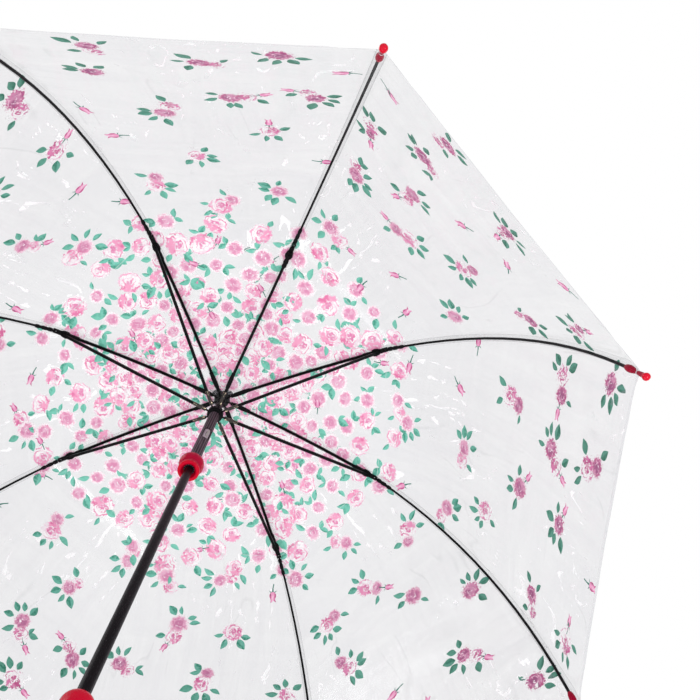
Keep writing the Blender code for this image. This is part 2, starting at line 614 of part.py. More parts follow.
def rod_mesh():
    """Springy rod with a flattened eye at its inner end, which is the origin."""
    line = rod_line(ROD_STEPS)
    last, slope = line[-1]
    line[-1] = (last - along(slope) * (EGG_LENGTH - ROD_SEAT), slope)
    line[0] = (along(ROD_ROOT_SLOPE) * (EYE_RADIUS + GAP), ROD_ROOT_SLOPE)
    rod = swept("rod", line, round_section(ROD_RADIUS))
    eye = tongue("eye", Vector((0, 0, 0)), ROD_ROOT_SLOPE, EYE_RADIUS, EYE_RADIUS + JOIN, EYE_WIDTH)
    hole = barrel("eye_hole", EYE_HOLE, 3 * EYE_WIDTH, (0, 0, 0), 10)
    return baked([rod, eye, hole], ["UNION", "DIFFERENCE"], "rib_outer")


def cap_mesh():
    """Tip cap: egg, waist, cone and ball on one axis. The origin is the waist and +X points to the ball."""
    bore = ROD_RADIUS + GAP
    lip = bore + EGG_LIP
    seat = GAP + ROD_SEAT - EGG_LENGTH
    ball = CONE_LENGTH + BALL_RADIUS * 0.75
    outline = [(0, seat), (bore, seat), (bore, -EGG_LENGTH), (lip, -EGG_LENGTH)]
    steps = 6
    for i in range(1, steps):
        low = lip if i <= steps / 2 else WAIST_RADIUS
        radius = low + (EGG_RADIUS - low) * math.sin(math.pi * i / steps)
        outline.append((radius, EGG_LENGTH * (i / steps - 1)))
    outline += [(WAIST_RADIUS, -WAIST_HALF), (WAIST_RADIUS, WAIST_HALF), (CONE_RADIUS, CONE_LENGTH)]
    start = math.degrees(math.asin((CONE_LENGTH - ball) / BALL_RADIUS))
    outline += arc(BALL_RADIUS, (0, ball), start, 90, 4)[1:]
    outline[-1] = (0, ball + BALL_RADIUS)
    return turned("tip_cap", outline, 10, axis="X")


# ---- Canopy film -------------------------------------------------------------------------------
def film_mesh(name, edge, spin):
    """A panel between two ribs: edge is a list of (radius, height) on the ribs' planes, lower side."""
    bm = bmesh.new()
    rows = []
    for i, (radius, height) in enumerate(edge):
        before, after = edge[max(i - 1, 0)], edge[min(i + 1, len(edge) - 1)]
        slope = math.atan2(before[1] - after[1], after[0] - before[0])
        row = []
        for lift in (0, FILM_THICKNESS):
            r = radius + lift * math.sin(slope)
            z = height + lift * math.cos(slope)
            for side in (0, 1):
                angle = spin + side * RIB_STEP
                shift = SEAM_GAP / 2 * (1 - 2 * side)
                row.append(bm.verts.new((r * math.cos(angle) - shift * math.sin(angle),
                                         r * math.sin(angle) + shift * math.cos(angle), z)))
        rows.append((row[0], row[1], row[3], row[2]))
    for low, high in zip(rows, rows[1:]):
        for i in range(4):
            j = (i + 1) % 4
            bm.faces.new((low[i], low[j], high[j], high[i]))
    bm.faces.new(rows[0])
    bm.faces.new(tuple(reversed(rows[-1])))
    return mesh_from(bm, name, smooth=False)


def film_edges():
    """(radius, height) along a rib for the upper and the lower panels, parted over the rod's pin."""
    upper = []
    for point, slope in rib_line(JOIN, RIB_ARC, 5):
        spot = point + above(slope) * FILM_LIFT
        upper.append((PIN_CIRCLE + spot.x, CROWN_HEIGHT + spot.z))
    upper[0] = (FILM_INNER_RADIUS, upper[0][1])
    middle_slope = (CLIP_SLOPE + ROD_ROOT_SLOPE) / 2
    fold = ROD_PIN + above(middle_slope) * FILM_LIFT
    seam = along(middle_slope) * GAP / 2
    upper.append((PIN_CIRCLE + fold.x - seam.x, CROWN_HEIGHT + fold.z - seam.z))
    lower = [(PIN_CIRCLE + fold.x + seam.x, CROWN_HEIGHT + fold.z + seam.z)]
    steps = ROD_STEPS - 4
    rod = rod_line(steps)
    egg_lift = EGG_RADIUS + GAP + EGG_RADIUS * math.tan(RIB_STEP / 2)
    for i, (point, slope) in enumerate(rod[1:], 1):
        lift = FILM_LIFT if i < steps - 1 else egg_lift
        spot = ROD_PIN + point + above(slope) * lift
        lower.append((PIN_CIRCLE + spot.x, CROWN_HEIGHT + spot.z))
    last, slope = rod[-1]
    egg = ROD_PIN + last - along(slope) * EGG_LENGTH * 0.55 + above(slope) * egg_lift
    waist = ROD_PIN + last + above(slope) * HEM_LIFT
    lower[-1:] = [(PIN_CIRCLE + p.x, CROWN_HEIGHT + p.z) for p in (egg, waist)]
    return upper, lower


# ---- Assembly ----------------------------------------------------------------------------------
def build():
    clear_scene()
    black = material("black_steel", (0.03, 0.03, 0.032), 0.4, 0.6)
    plum = material("runner_plastic", (0.055, 0.035, 0.05), 0.42)
    red = material("red_plastic", (0.62, 0.0, 0.03), 0.22)
    tube = material("shaft_paint", (0.035, 0.033, 0.036), 0.35, 0.3)
    steel = material("spring_steel", (0.45, 0.43, 0.4), 0.3, 1.0)
    film = material("clear_film", (0.9, 0.92, 0.95), 0.12, 0.0, 0.3)
    black_plastic = material("black_plastic", (0.02, 0.02, 0.022), 0.4)

    stop_height = RUNNER_HEIGHT + HUB_TOP + STOP_RISE
    window_closed = WINDOW_HEIGHT - TRAVEL
    build_shaft(tube, WINDOW_HEIGHT, window_closed, stop_height)
    build_stop_pin(steel, stop_height)
    build_catch("top_catch", steel, WINDOW_HEIGHT, CATCH_AZIMUTH, 1)
    build_catch("bottom_catch", steel, window_closed, CATCH_AZIMUTH + math.pi, -1)
    build_handle(red)
    build_ferrule(black_plastic)
    build_top_cap(black_plastic)
    build_crown_notch(black_plastic)
    wire_ring("crown_wire", steel, CROWN_HEIGHT)
    build_runner(plum)
    build_collar(red)
    wire_ring("runner_wire", steel, RUNNER_HEIGHT)

    rib, stretcher, rod, cap = rib_mesh(), stretcher_mesh(), rod_mesh(), cap_mesh()
    tip, tip_slope = rod_line(ROD_STEPS)[-1]
    cap.transform(Matrix.Rotation(tip_slope, 4, "Y"))
    upper_edge, lower_edge = film_edges()
    for k in range(RIB_COUNT):
        spin = k * RIB_STEP
        pin = Vector((PIN_CIRCLE * math.cos(spin), PIN_CIRCLE * math.sin(spin), CROWN_HEIGHT))
        turn = Matrix.Rotation(spin, 3, "Z")
        number = str(k + 1)
        place("rib_inner_" + number, rib, black, pin, spin)
        place("stretcher_" + number, stretcher, black, pin + turn @ ELBOW, spin)
        place("rib_outer_" + number, rod, black, pin + turn @ ROD_PIN, spin)
        place("tip_cap_" + number, cap, red, pin + turn @ (ROD_PIN + tip), spin)
        place("canopy_upper_" + number, film_mesh("canopy_upper_" + number, upper_edge, spin), film)
        place("canopy_lower_" + number, film_mesh("canopy_lower_" + number, lower_edge, spin), film)


build()
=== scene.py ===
"""Looks of the clear dome umbrella: film canopy with a blossom print, black ribs, red fittings.

Metres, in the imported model's own frame: +Z up the shaft, rib 1 over +X.
"""
import json
import math

import bmesh
import bpy
import numpy as np
from mathutils import Matrix, Vector

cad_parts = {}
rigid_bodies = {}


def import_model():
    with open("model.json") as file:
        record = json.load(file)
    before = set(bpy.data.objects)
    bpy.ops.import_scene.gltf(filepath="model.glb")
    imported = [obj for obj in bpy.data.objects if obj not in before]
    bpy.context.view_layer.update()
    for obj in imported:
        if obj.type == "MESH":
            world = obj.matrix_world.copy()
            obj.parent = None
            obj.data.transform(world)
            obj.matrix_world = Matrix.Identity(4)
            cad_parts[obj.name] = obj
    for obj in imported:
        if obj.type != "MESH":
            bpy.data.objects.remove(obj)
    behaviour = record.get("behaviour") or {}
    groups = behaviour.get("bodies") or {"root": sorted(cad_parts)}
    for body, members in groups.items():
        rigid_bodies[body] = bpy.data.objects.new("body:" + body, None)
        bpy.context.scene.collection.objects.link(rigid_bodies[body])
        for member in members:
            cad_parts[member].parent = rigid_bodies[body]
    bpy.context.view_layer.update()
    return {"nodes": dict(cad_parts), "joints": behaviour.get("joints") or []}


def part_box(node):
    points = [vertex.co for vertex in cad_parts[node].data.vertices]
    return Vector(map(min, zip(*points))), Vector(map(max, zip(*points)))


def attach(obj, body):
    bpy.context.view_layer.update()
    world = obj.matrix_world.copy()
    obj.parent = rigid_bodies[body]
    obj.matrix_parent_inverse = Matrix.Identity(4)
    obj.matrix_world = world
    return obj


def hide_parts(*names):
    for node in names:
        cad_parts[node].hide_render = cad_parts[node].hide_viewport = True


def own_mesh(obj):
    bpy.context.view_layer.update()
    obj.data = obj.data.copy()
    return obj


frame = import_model()

MM = 0.001
RIBS = 8
TURN = math.tau / RIBS
HALF = TURN / 2
ACROSS = Vector((0, 1, 0))                          # sideways of rib 1
NODES = frame["nodes"]
PIVOTS = {joint["name"]: Vector(joint["pos_m"]) for joint in frame["joints"]}


def middle_height(node):
    low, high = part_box(node)
    return (low.z + high.z) / 2


WINDOW = middle_height("top_catch") + 12.6 * MM     # middle of the runner's window
HUB_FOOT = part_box("runner")[1].z - 15 * MM          # where the sleeve runs into its slotted top
FLUTES = 14                                         # round the runner's sleeve
CAP_BALL = 32.5 * MM                                # a tip cap's polished ball begins here, from its mouth
RIB_WELD, HEM_WELD = 4.6 * MM, 8.5 * MM             # width of the film's double layer at a rib and at the hem
PAINTED_GLOW = 0.25                                # painted glow: share of an ink's colour that it emits, in place of light that comes through the film


# ---- Finishes ----
class Wire:
    """A node's output. Arithmetic on wires and numbers adds Math nodes to the same finish."""

    def __init__(self, finish, socket):
        self.finish, self.socket = finish, socket

    def math(self, operation, *values, clamp=False):
        return self.finish.add("Math", {"operation": operation, "use_clamp": clamp}, dict(enumerate(values)))

    def __add__(self, other): return self.math("ADD", self, other)
    def __radd__(self, other): return self.math("ADD", other, self)
    def __sub__(self, other): return self.math("SUBTRACT", self, other)
    def __rsub__(self, other): return self.math("SUBTRACT", other, self)
    def __mul__(self, other): return self.math("MULTIPLY", self, other)
    def __rtruediv__(self, other): return self.math("DIVIDE", other, self)
    def __pow__(self, other): return self.math("POWER", self, other)
    def __abs__(self): return self.math("ABSOLUTE", self)
    def sin(self): return self.math("SINE", self)
    def floor(self): return self.math("FLOOR", self)
    def fract(self): return self.math("FRACT", self)
    def held(self): return self.math("ADD", self, 0.0, clamp=True)

    def above(self, edge, soft):
        """0 below the edge and 1 above it, over a soft width."""
        return self.math("MULTIPLY_ADD", self, 1 / soft, 0.5 - edge / soft, clamp=True)

    def below(self, edge, soft):
        """1 below the edge and 0 above it."""
        return 1 - self.above(edge, soft)

    def scaled(self, *factors):
        """A vector times three numbers."""
        return self.finish.add("VectorMath", {"operation": "MULTIPLY"}, {0: self, 1: factors})

    def moved(self, *by):
        """A vector plus another wire or three numbers."""
        other = by[0] if len(by) == 1 else by
        return self.finish.add("VectorMath", {"operation": "ADD"}, {0: self, 1: other})

    def noise(self, scale, detail=2, rough=0.5, distort=0, out="Fac"):
        return self.finish.add("TexNoise", {"noise_dimensions": "3D"},
                               {"Vector": self, "Scale": scale, "Detail": detail, "Roughness": rough,
                                "Distortion": distort}, out)

    def parts(self):
        """x, y and z of a vector."""
        node = self.finish.add("SeparateXYZ", None, {0: self}).socket.node
        return [Wire(self.finish, out) for out in node.outputs]


class Finish:
    """One node material, built around a Principled shader."""

    def __init__(self, name, **constants):
        self.material = bpy.data.materials.new(name)
        self.material.use_nodes = True
        self.tree = self.material.node_tree
        for label, value in constants.items():
            self.input(label).default_value = value

    def input(self, label):
        """The shader's socket, by its name in small letters."""
        label = label.replace("_", " ").title().replace("Ior", "IOR")
        return self.tree.nodes["Principled BSDF"].inputs[label]

    def add(self, kind, settings=None, values=None, out=0):
        """A node of any kind: its settings first, then numbers or wires for its sockets."""
        node = self.tree.nodes.new("ShaderNode" + kind)
        for label, value in (settings or {}).items():
            setattr(node, label, value)
        for label, value in (values or {}).items():
            if isinstance(value, Wire):
                self.tree.links.new(value.socket, node.inputs[label])
            else:
                node.inputs[label].default_value = value
        return Wire(self, node.outputs[out])

    def place(self):
        return self.add("TexCoord", out="Object")

    def uv(self, name):
        return self.add("UVMap", {"uv_map": name})

    def value(self, name):
        """A number that the piece carries on its points."""
        return self.add("Attribute", {"attribute_name": name}, out="Fac")

    def vector(self, *parts):
        return self.add("CombineXYZ", None, dict(enumerate(parts)))

    def angle(self, x, y):
        return self.add("Math", {"operation": "ARCTAN2"}, {0: y, 1: x})

    def mix(self, share, low, high, kind="MIX"):
        """A colour between low and high, each a wire or (r, g, b). The node holds the share to 0..1."""
        low, high = (colour if isinstance(colour, Wire) else (*colour, 1) for colour in (low, high))
        return self.add("Mix", {"data_type": "RGBA", "blend_type": kind}, {0: share, 6: low, 7: high}, 2)

    def coats(self, base, *coats):
        """Colours laid over a base in turn, each as (share, colour)."""
        for share, colour in coats:
            base = self.mix(share, base, colour)
        return base

    def bump(self, height, distance, strength):
        return self.add("Bump", None, {"Height": height, "Distance": distance, "Strength": strength},
                        "Normal")

    def paint(self, **wires):
        """The material, with wires linked to the shader."""
        for label, wire in wires.items():
            self.tree.links.new(wire.socket, self.input(label))
        return self.material


def distance(x, y):
    return (x * x + y * y) ** 0.5


def film_finish():
    """Clear PVC: faint grey tint with painted light and shade of soft folds, painted shade along creases, rare
    painted glints, milky where two layers are welded.
    """
    f = Finish("clear_film", specular_ior_level=0.8, coat_weight=0.5, coat_roughness=0.04)
    cut, place = f.uv("cut"), f.place()
    drift = place.noise(6)
    calm = place.moved(3.1, 1.7, 0.4).noise(5, 2, 0.55).above(0.50, 0.20)
    folds = cut.scaled(1, 3.6, 1).noise(9, 3, 0.5, 0.6)
    pulls = cut.scaled(7, 1, 1).noise(9, 2, 0.55, 0.4)
    # painted light and shade of the soft folds, in the film's tint and alpha
    painted_fold_shading = ((folds - 0.5) * (0.5 + calm) + (pulls - 0.5) * (1.2 - calm)) * 1.4
    # painted glints: rare hard white patches that stand in for highlights
    spots = cut.moved(0.31, 0.12, 0).scaled(2.6, 1, 1).noise(13, 3, 0.6, 2.4)
    painted_glint_patches = place.moved(0.3, 5, 2).noise(7)
    painted_glint = (spots.above(0.625, 0.012) * painted_glint_patches.above(0.53, 0.05)).held()
    # painted shade: dark hairlines along creases, a little more opaque
    lines = cut.scaled(2.6, 0.7, 1).noise(9, 1, 0.4, 0.25)
    painted_crease_gate = place.moved(1, 2, 7).noise(9).above(0.60, 0.05)
    painted_crease_shade = (1 - abs(lines - 0.5) * 60).held() * painted_crease_gate
    from_rib, from_hem = f.value("from_rib"), f.value("from_hem")
    weld = (1 - from_rib.above(RIB_WELD, 0.3 * MM) * from_hem.above(HEM_WELD, 0.4 * MM)).held()
    pressed = (1 - abs(from_rib - (RIB_WELD + 0.2 * MM)) * (1 / (0.55 * MM))).held()
    fold_shaded_film = f.mix(0.5 + painted_fold_shading, (0.25, 0.24, 0.29), (0.45, 0.44, 0.495))
    alpha = (0.265 + (drift - 0.5) * 0.10 + painted_fold_shading * 0.16 + weld * 0.16 + pressed * 0.30 + painted_crease_shade * 0.06
             + painted_glint * 0.6)
    return f.paint(
        base_color=f.coats(fold_shaded_film, (weld * 0.45, (0.68, 0.69, 0.71)), (painted_crease_shade * 0.5, (0.17, 0.17, 0.20)),
                           (pressed * 0.8, (0.10, 0.10, 0.12)), (painted_glint, (1, 1, 1))),
        alpha=alpha.held(), roughness=(0.08 + drift * 0.12 + weld * 0.12).held(),
        normal=f.bump(folds + pulls * 0.5, 3 * MM, 0.5))


def ink(name):
    """A finish for ink with a painted glow: it emits a little of its own colour, in place of light that comes
    through it.
    """
    return Finish(name, specular_ior_level=0.3, emission_strength=PAINTED_GLOW)


def share_toward_hem(f):
    """0 near the crown and 1 towards the hem, where the print's colours are deeper."""
    x, y, _ = f.place().parts()
    return distance(x, y).above(0.32, 0.16)


def inked(f, colour, tooth, **others):
    """Ink on clear film: part of its colour is reflected, part is a painted glow in place of the light that
    comes through it.
    """
    reflected = f.mix(1, colour, (0.70, 0.70, 0.70), kind="MULTIPLY")
    # painted glow: the ink emits its own colour
    return f.paint(base_color=reflected, emission_color=colour, roughness=0.38 + tooth * 0.2,
                   normal=f.bump(tooth, 0.08 * MM, 0.5), **others)


def blossom_finish():
    """Ink of the blossoms: brushed petals round a heart with torn edges, from two numbers per blossom."""
    f = ink("blossom_ink")
    kind, seed, spot = f.value("kind"), f.value("seed"), f.uv("bloom")
    depth = share_toward_hem(f)
    shifted = spot.moved(f.vector(seed * 7.3, seed * 3.1, seed * 11.7))
    wobble = shifted.noise(1.5, 3, 0.6, out="Color").moved(-0.5, -0.5, -0.5).scaled(1, 1, 0)
    x, y, _ = spot.moved(wobble).parts()
    flat_x, flat_y, _ = spot.parts()
    reach, angle, rim = distance(x, y), f.angle(x, y), distance(flat_x, flat_y)
    grain, wash = shifted.noise(6, 3, 0.62), shifted.noise(1.6)
    broken = shifted.moved(2, 9, 4).noise(4, 3, 0.65)
    outward = 2 / rim.math("MAXIMUM", rim, 0.05)
    rays = f.vector(flat_x * outward + seed * 9, flat_y * outward, rim * 1.6 + seed * 5).noise(2.6, 3, 0.65)
    torn = rim + (rays - 0.5) * (0.58 + depth * 0.30) + (grain - 0.5) * (0.42 + depth * 0.25)

    def tone(near, far):
        """A colour by the crown and by the hem."""
        return f.mix(depth, near, far)

    # petals: each ring is cut into arcs that start a turn later than those inside it
    ring = reach * 3.6 + (angle + seed * 9).sin() * 0.45 + wash * 0.8
    line = 1 - (abs(ring.fract() - 0.5) * 3.4).held()
    arcs = (angle * 2 + ring.floor() * 2.4 + seed * 8).sin()
    stroke = (line * 0.55 + grain * 0.60 + arcs * 0.22).above(0.60, 0.08)
    fine = (line * 0.6 + broken * 0.45 + arcs * 0.18).above(0.70, 0.07)

    # a full blossom: mauve heart, rosy torn rim and a few pale curls by the heart
    drawn_in = stroke * rim.below(0.62, 0.12) * (wash + grain).above(0.90, 0.15)
    curls = (fine * rim.below(0.34, 0.22) * (wash + broken + depth * 0.10).above(0.94, 0.10)).held()
    flecks = (fine + broken.above(0.60, 0.05)) * rim.above(0.30, 0.15)
    dashes = (torn + depth * 0.12).above(0.64, 0.03) * torn.below(0.80, 0.03) * broken.above(0.54, 0.04)
    full = f.coats(
        tone((0.76, 0.29, 0.48), (0.33, 0.085, 0.21)),
        ((torn * 0.9 + (broken - 0.5) * 0.9).above(0.46, 0.26), tone((0.91, 0.40, 0.58), (0.52, 0.10, 0.26))),
        (wash.above(0.53, 0.08) * 0.55, tone((0.93, 0.62, 0.76), (0.76, 0.34, 0.52))),
        (drawn_in.held() * 0.5, tone((0.74, 0.17, 0.38), (0.30, 0.05, 0.16))),
        (curls + fine * (1 - depth) * rim.below(0.66, 0.1) * 0.5, (0.97, 0.87, 0.92)),
        (depth * flecks * 0.8, (0.88, 0.56, 0.70)),
        (torn.above(0.62, 0.05) * (1 - depth), (0.98, 0.93, 0.95)),
        (dashes.held() * (0.55 + depth * 0.4), tone((0.90, 0.38, 0.56), (0.42, 0.05, 0.18))))

    # an open blossom: white petals drawn in rose round a rosy heart, one side brushed solid
    side = (angle + wash * 2.4 - 1.2).sin()
    blot = (side.above(0.48, 0.10) * reach.above(0.30, 0.08)
            * (reach + (grain - 0.5) * 0.5).below(0.86, 0.06) * broken.below(0.56, 0.04)).held()
    heart = (reach.below(0.26, 0.10) * grain.above(0.45, 0.07)).held()
    drawn = (stroke * reach.below(0.86, 0.12) * 0.92).held()
    rose = f.mix(wash.above(0.45, 0.1), tone((0.82, 0.20, 0.41), (0.46, 0.085, 0.23)),
                 tone((0.93, 0.38, 0.58), (0.62, 0.17, 0.36)))
    petal = f.mix((wash + broken - grain).above(0.56, 0.20), (0.985, 0.96, 0.97), (0.90, 0.76, 0.83))
    pale = f.coats(petal, (drawn, rose), (heart * 0.9, tone((0.80, 0.22, 0.45), (0.50, 0.09, 0.24))),
                   (blot, rose))

    # a bud: deep at both sides, with a pale streak along it
    streak = (1 - abs(flat_y + (wash - 0.5) * 0.8) * 4.5).held() * flat_x.above(-0.2, 0.5)
    shut = f.coats(f.mix(wash, (0.93, 0.42, 0.62), (0.80, 0.28, 0.52)),
                   (abs(flat_y + (grain - 0.5) * 0.3).above(0.40, 0.20), (0.55, 0.09, 0.26)),
                   (streak.held() * 0.8, (0.97, 0.80, 0.88)))
    budded = (1 - abs(kind - 0.5) * 8).held()

    solid = ((torn + depth * 0.13).below(0.84, 0.04) + budded).held()
    specks = (shifted.noise(15, 1).above(0.67, 0.03) * torn.below(1.1, 0.1)).held()
    covered = (drawn + heart + blot + (1 - kind) + budded).held()
    alpha = (solid + specks * 0.8).held() * (1 - depth * 0.85 * (1 - covered))
    return inked(f, f.coats(full, (kind, pale), (budded, shut)), grain, alpha=alpha.held())


def leaf_finish():
    """Ink of the leaves: two tones parted by the midrib, washed unevenly; stems are darker."""
    f = ink("leaf_ink")
    seed, spot = f.value("seed"), f.uv("bloom")
    x, y, _ = spot.parts()
    wash = spot.moved(f.vector(seed * 5.3, seed * 9.1, seed * 2.7)).noise(2.4, 3, 0.6)
    veins = abs(((x + abs(y) * 0.9) * 3.2).fract() - 0.5).above(0.36, 0.1)
    green = f.coats((0.040, 0.32, 0.22), (y.above(0, 0.14), (0.17, 0.58, 0.46)),
                    (wash.above(0.52, 0.2) * 0.7, (0.30, 0.71, 0.58)), (veins * 0.25, (0.04, 0.28, 0.20)),
                    (seed.above(0.55, 0.3) * 0.55, (0.20, 0.62, 0.48)))
    deep = f.mix(1, green, (0.42, 0.45, 0.42), kind="MULTIPLY")
    return inked(f, f.coats(green, (share_toward_hem(f), deep), (f.value("kind"), (0.035, 0.19, 0.145))), wash)


def plastic_finish(name, colour, roughness, speckle=0.25, skin=140.0, specular=0.5, relief=0.12):
    """Moulded plastic: slow tone drift, a faint moulded skin and small scuffs."""
    f = Finish(name, specular_ior_level=specular)
    place = f.place()
    drift, skin_noise = place.noise(18, 3, 0.55), place.noise(skin, 3, 0.6)
    scuff = place.scaled(1, 1, 0.22).noise(210, 4, 0.7, 1.5).above(0.66, 0.06)
    dark = [c * (1 - 0.5 * speckle) for c in colour]
    light = [min(1.0, c * (1 + speckle) + 0.006 * speckle) for c in colour]
    return f.paint(base_color=f.mix(drift * 0.7 + skin_noise * 0.3, dark, light),
                   roughness=(roughness + (drift - 0.5) * 0.12 + scuff * 0.18).held(),
                   normal=f.bump(skin_noise * 0.6 - scuff * 0.4, relief * MM, 0.35))


def collar_finish():
    """Thumb collar: crimson bulb, darkened as painted shade, with turned lines that carry a painted highlight,
    above a flared ring brightened as painted light.
    """
    f = Finish("collar_gloss", specular_ior_level=0.10)
    height, drift = f.value("height"), f.place().noise(60, 3, 0.55)
    ring = height.below(9 * MM, 5 * MM)
    # turned lines: fine relief, also coloured lighter as a painted highlight
    turned = ((height * 3600).sin().above(0.55, 0.5) * (1 - ring)).held()
    # painted shade on the bulb and painted light on the flared ring: two tones of one red
    bulb = f.mix(drift, (0.31, 0, 0.022), (0.43, 0, 0.030))
    painted_lit_flare = f.mix(drift, (0.46, 0, 0.016), (0.57, 0.001, 0.020))
    return f.paint(base_color=f.coats(bulb, (ring, painted_lit_flare), (turned * 0.30, (0.52, 0.02, 0.045))),
                   roughness=(0.12 + drift * 0.10).held(),
                   normal=f.bump(turned + drift * 0.2, 0.06 * MM, 0.35))


def cap_finish():
    """Tip caps: deep crimson moulding with a brighter, polished ball."""
    f = Finish("cap_gloss", specular_ior_level=0.05, coat_roughness=0.07)
    along, drift = f.value("along"), f.place().noise(160, 3, 0.6)
    ball = along.above(CAP_BALL, 1 * MM)
    ridges = f.vector(along * 3, 0, 0).noise(700)
    deep = f.mix(drift, (0.22, 0.001, 0.016), (0.36, 0.004, 0.030))
    bright = f.mix(drift, (0.50, 0, 0.016), (0.66, 0, 0.022))
    return f.paint(base_color=f.mix(ball, deep, bright), coat_weight=(ball * 0.32).held(),
                   roughness=(0.24 + drift * 0.12).held(),
                   normal=f.bump(ridges * (1 - ball), 0.10 * MM, 0.3))


def lacquer_finish(name, colour, wear=0.3):
    """Black lacquer on rolled steel: uneven coat, dust in the paint, bare specks on the edges."""
    f = Finish(name, specular_ior_level=0.07)
    place = f.place()
    cloud, dust = place.noise(60, 4, 0.6), place.noise(420)
    chips = (place.noise(320, 3, 0.65).above(0.72, 0.03) * wear).held()
    coat = f.mix(cloud * 0.6 + dust * 0.25, colour, [c * 1.5 + 0.0012 for c in colour])
    return f.paint(base_color=f.mix(chips, coat, (0.16, 0.15, 0.14)), metallic=chips,
                   roughness=(0.24 + cloud * 0.16 + dust * 0.08).held(),
                   normal=f.bump(dust + cloud, 0.05 * MM, 0.35))


def steel_finish(name, colour):
    """Bright spring steel, rubbed lengthwise and a little stained."""
    f = Finish(name, metallic=1.0)
    rub = f.place().scaled(1, 1, 0.15).noise(260, 4, 0.65)
    stain = f.place().noise(90, 3, 0.6)
    return f.paint(base_color=f.mix(rub * 0.5 + stain * 0.5, [c * 0.62 for c in colour], colour),
                   roughness=(0.3 + (rub - 0.5) * 0.25).held(), normal=f.bump(rub, 0.05 * MM, 0.4))


def sleeve_finish():
    """Runner: plum plastic with a painted highlight along each flute, black round its slotted top."""
    f = Finish("plum_sleeve", specular_ior_level=0.07)
    place = f.place()
    x, y, z = place.parts()
    flute = abs((f.angle(x, y) * (FLUTES / math.tau) + 0.25).fract() - 0.5) * 2
    drift, streaks = place.noise(24, 3, 0.55), place.scaled(1, 1, 0.05).noise(420, 3, 0.6)
    # painted highlight: a lighter line along each flute, with a little random tone
    painted_flute_highlight_and_tone = flute.above(0.66, 0.20) * 0.9 + (drift - 0.5) * 0.3
    plum = f.coats((0.012, 0.005, 0.009), (painted_flute_highlight_and_tone, (0.125, 0.082, 0.105)),
                   (streaks.above(0.60, 0.12) * 0.22, (0.20, 0.15, 0.18)),
                   (z.above(HUB_FOOT, 1.5 * MM), (0.0025, 0.0025, 0.003)))
    return f.paint(base_color=plum, roughness=(0.36 + drift * 0.16).held(),
                   normal=f.bump(flute * 0.6 + streaks * 0.2, 0.35 * MM, 0.6))


def tube_finish():
    """Shaft: near-black lacquer, paler grey round the catch, on the side that the window shows."""
    f = Finish("tube_lacquer", specular_ior_level=0.05)
    place = f.place()
    x, y, z = place.parts()
    lines, dust = place.scaled(1, 1, 0.08).noise(380, 3, 0.6), place.noise(420)
    low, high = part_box("top_catch")
    # a paler grey patch round the catch's height, on the side that the window shows
    rub = (abs(z - WINDOW) * (1 / (18 * MM))).below(1, 0.12).held()
    facing = (x * ((low.x + high.x) / 2) + y * ((low.y + high.y) / 2)).above(0, 2e-6)
    bare = (rub * facing * (0.75 + dust * 0.3)).held()
    lacquer = f.mix(lines * 0.5 + dust * 0.3, (0.0025, 0.0015, 0.0025), (0.011, 0.008, 0.010))
    return f.paint(base_color=f.mix(bare, lacquer, (0.62, 0.50, 0.57)),
                   roughness=(0.16 + lines * 0.10 + dust * 0.06 + bare * 0.2).held(),
                   normal=f.bump(dust + lines, 0.04 * MM, 0.3))


def crimp_finish():
    """Lacquered brass sleeves: nearly black, worn to yellow metal along ridges."""
    f = Finish("worn_brass")
    lengthwise = f.vector(f.value("along") * 0.16, f.value("side"), f.value("over"))
    worn, stain = lengthwise.noise(620).above(0.585, 0.04), f.place().noise(120)
    lacquer = f.mix(stain, (0.006, 0.005, 0.005), (0.035, 0.025, 0.018))
    return f.paint(base_color=f.mix(worn * 0.85, lacquer, (0.70, 0.56, 0.40)),
                   metallic=(0.2 + worn * 0.8).held(), roughness=(0.44 - worn * 0.18).held(),
                   normal=f.bump(worn + stain, 0.06 * MM, 0.5))


FILM, BLOSSOM, LEAF = film_finish(), blossom_finish(), leaf_finish()
RED = plastic_finish("red_gloss", (0.47, 0, 0.018), 0.14, speckle=0.35, skin=60.0, specular=0.08, relief=0.05)
COLLAR_RED, CAP_RED, PLUM, TUBE, BRASS = (finish() for finish in (
    collar_finish, cap_finish, sleeve_finish, tube_finish, crimp_finish))
BLACK_PLASTIC = plastic_finish("black_moulding", (0.010, 0.010, 0.011), 0.38, speckle=0.6, specular=0.25)
RIB_BLACK = lacquer_finish("rib_lacquer", (0.003, 0.003, 0.0035))
RIVET_BLACK = lacquer_finish("rivet_lacquer", (0.004, 0.004, 0.0045), wear=0.9)
STEEL = steel_finish("spring_steel", (0.52, 0.50, 0.47))
THREAD = plastic_finish("clear_thread", (0.62, 0.62, 0.64), 0.5, speckle=0.2)


# ---- Making pieces ----
def shown(name, data):
    """An object in the scene."""
    obj = bpy.data.objects.new(name, data)
    bpy.context.scene.collection.objects.link(obj)
    return obj


def piece(name, mesh, body, *materials, slot=None, replaces=()):
    """A visible piece that rides on a CAD body, and the CAD nodes that it stands for."""
    obj = shown(name, mesh)
    for material in materials:
        mesh.materials.append(material)
    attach(obj, body)
    if replaces:
        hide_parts(*replaces)
    return obj


def on_rib(k, name, mesh, body, *materials, **details):
    """The piece made for rib 1, turned to rib k + 1 and its body."""
    copy = mesh.copy()
    copy.name = f"{name}_{k + 1}"
    copy.transform(Matrix.Rotation(k * TURN, 4, "Z"))
    return piece(copy.name, copy, f"{body}_{k + 1}", *materials, **details)


def on_each_rib(name, mesh, body, *materials, **details):
    """The same on all ribs."""
    for k in range(RIBS):
        on_rib(k, name, mesh, body, *materials, **details)
    bpy.data.meshes.remove(mesh)


def repaint(node, material):
    """A CAD node keeps its shape and takes a finer finish."""
    materials = NODES[node].data.materials
    for i in range(len(materials)):
        materials[i] = material


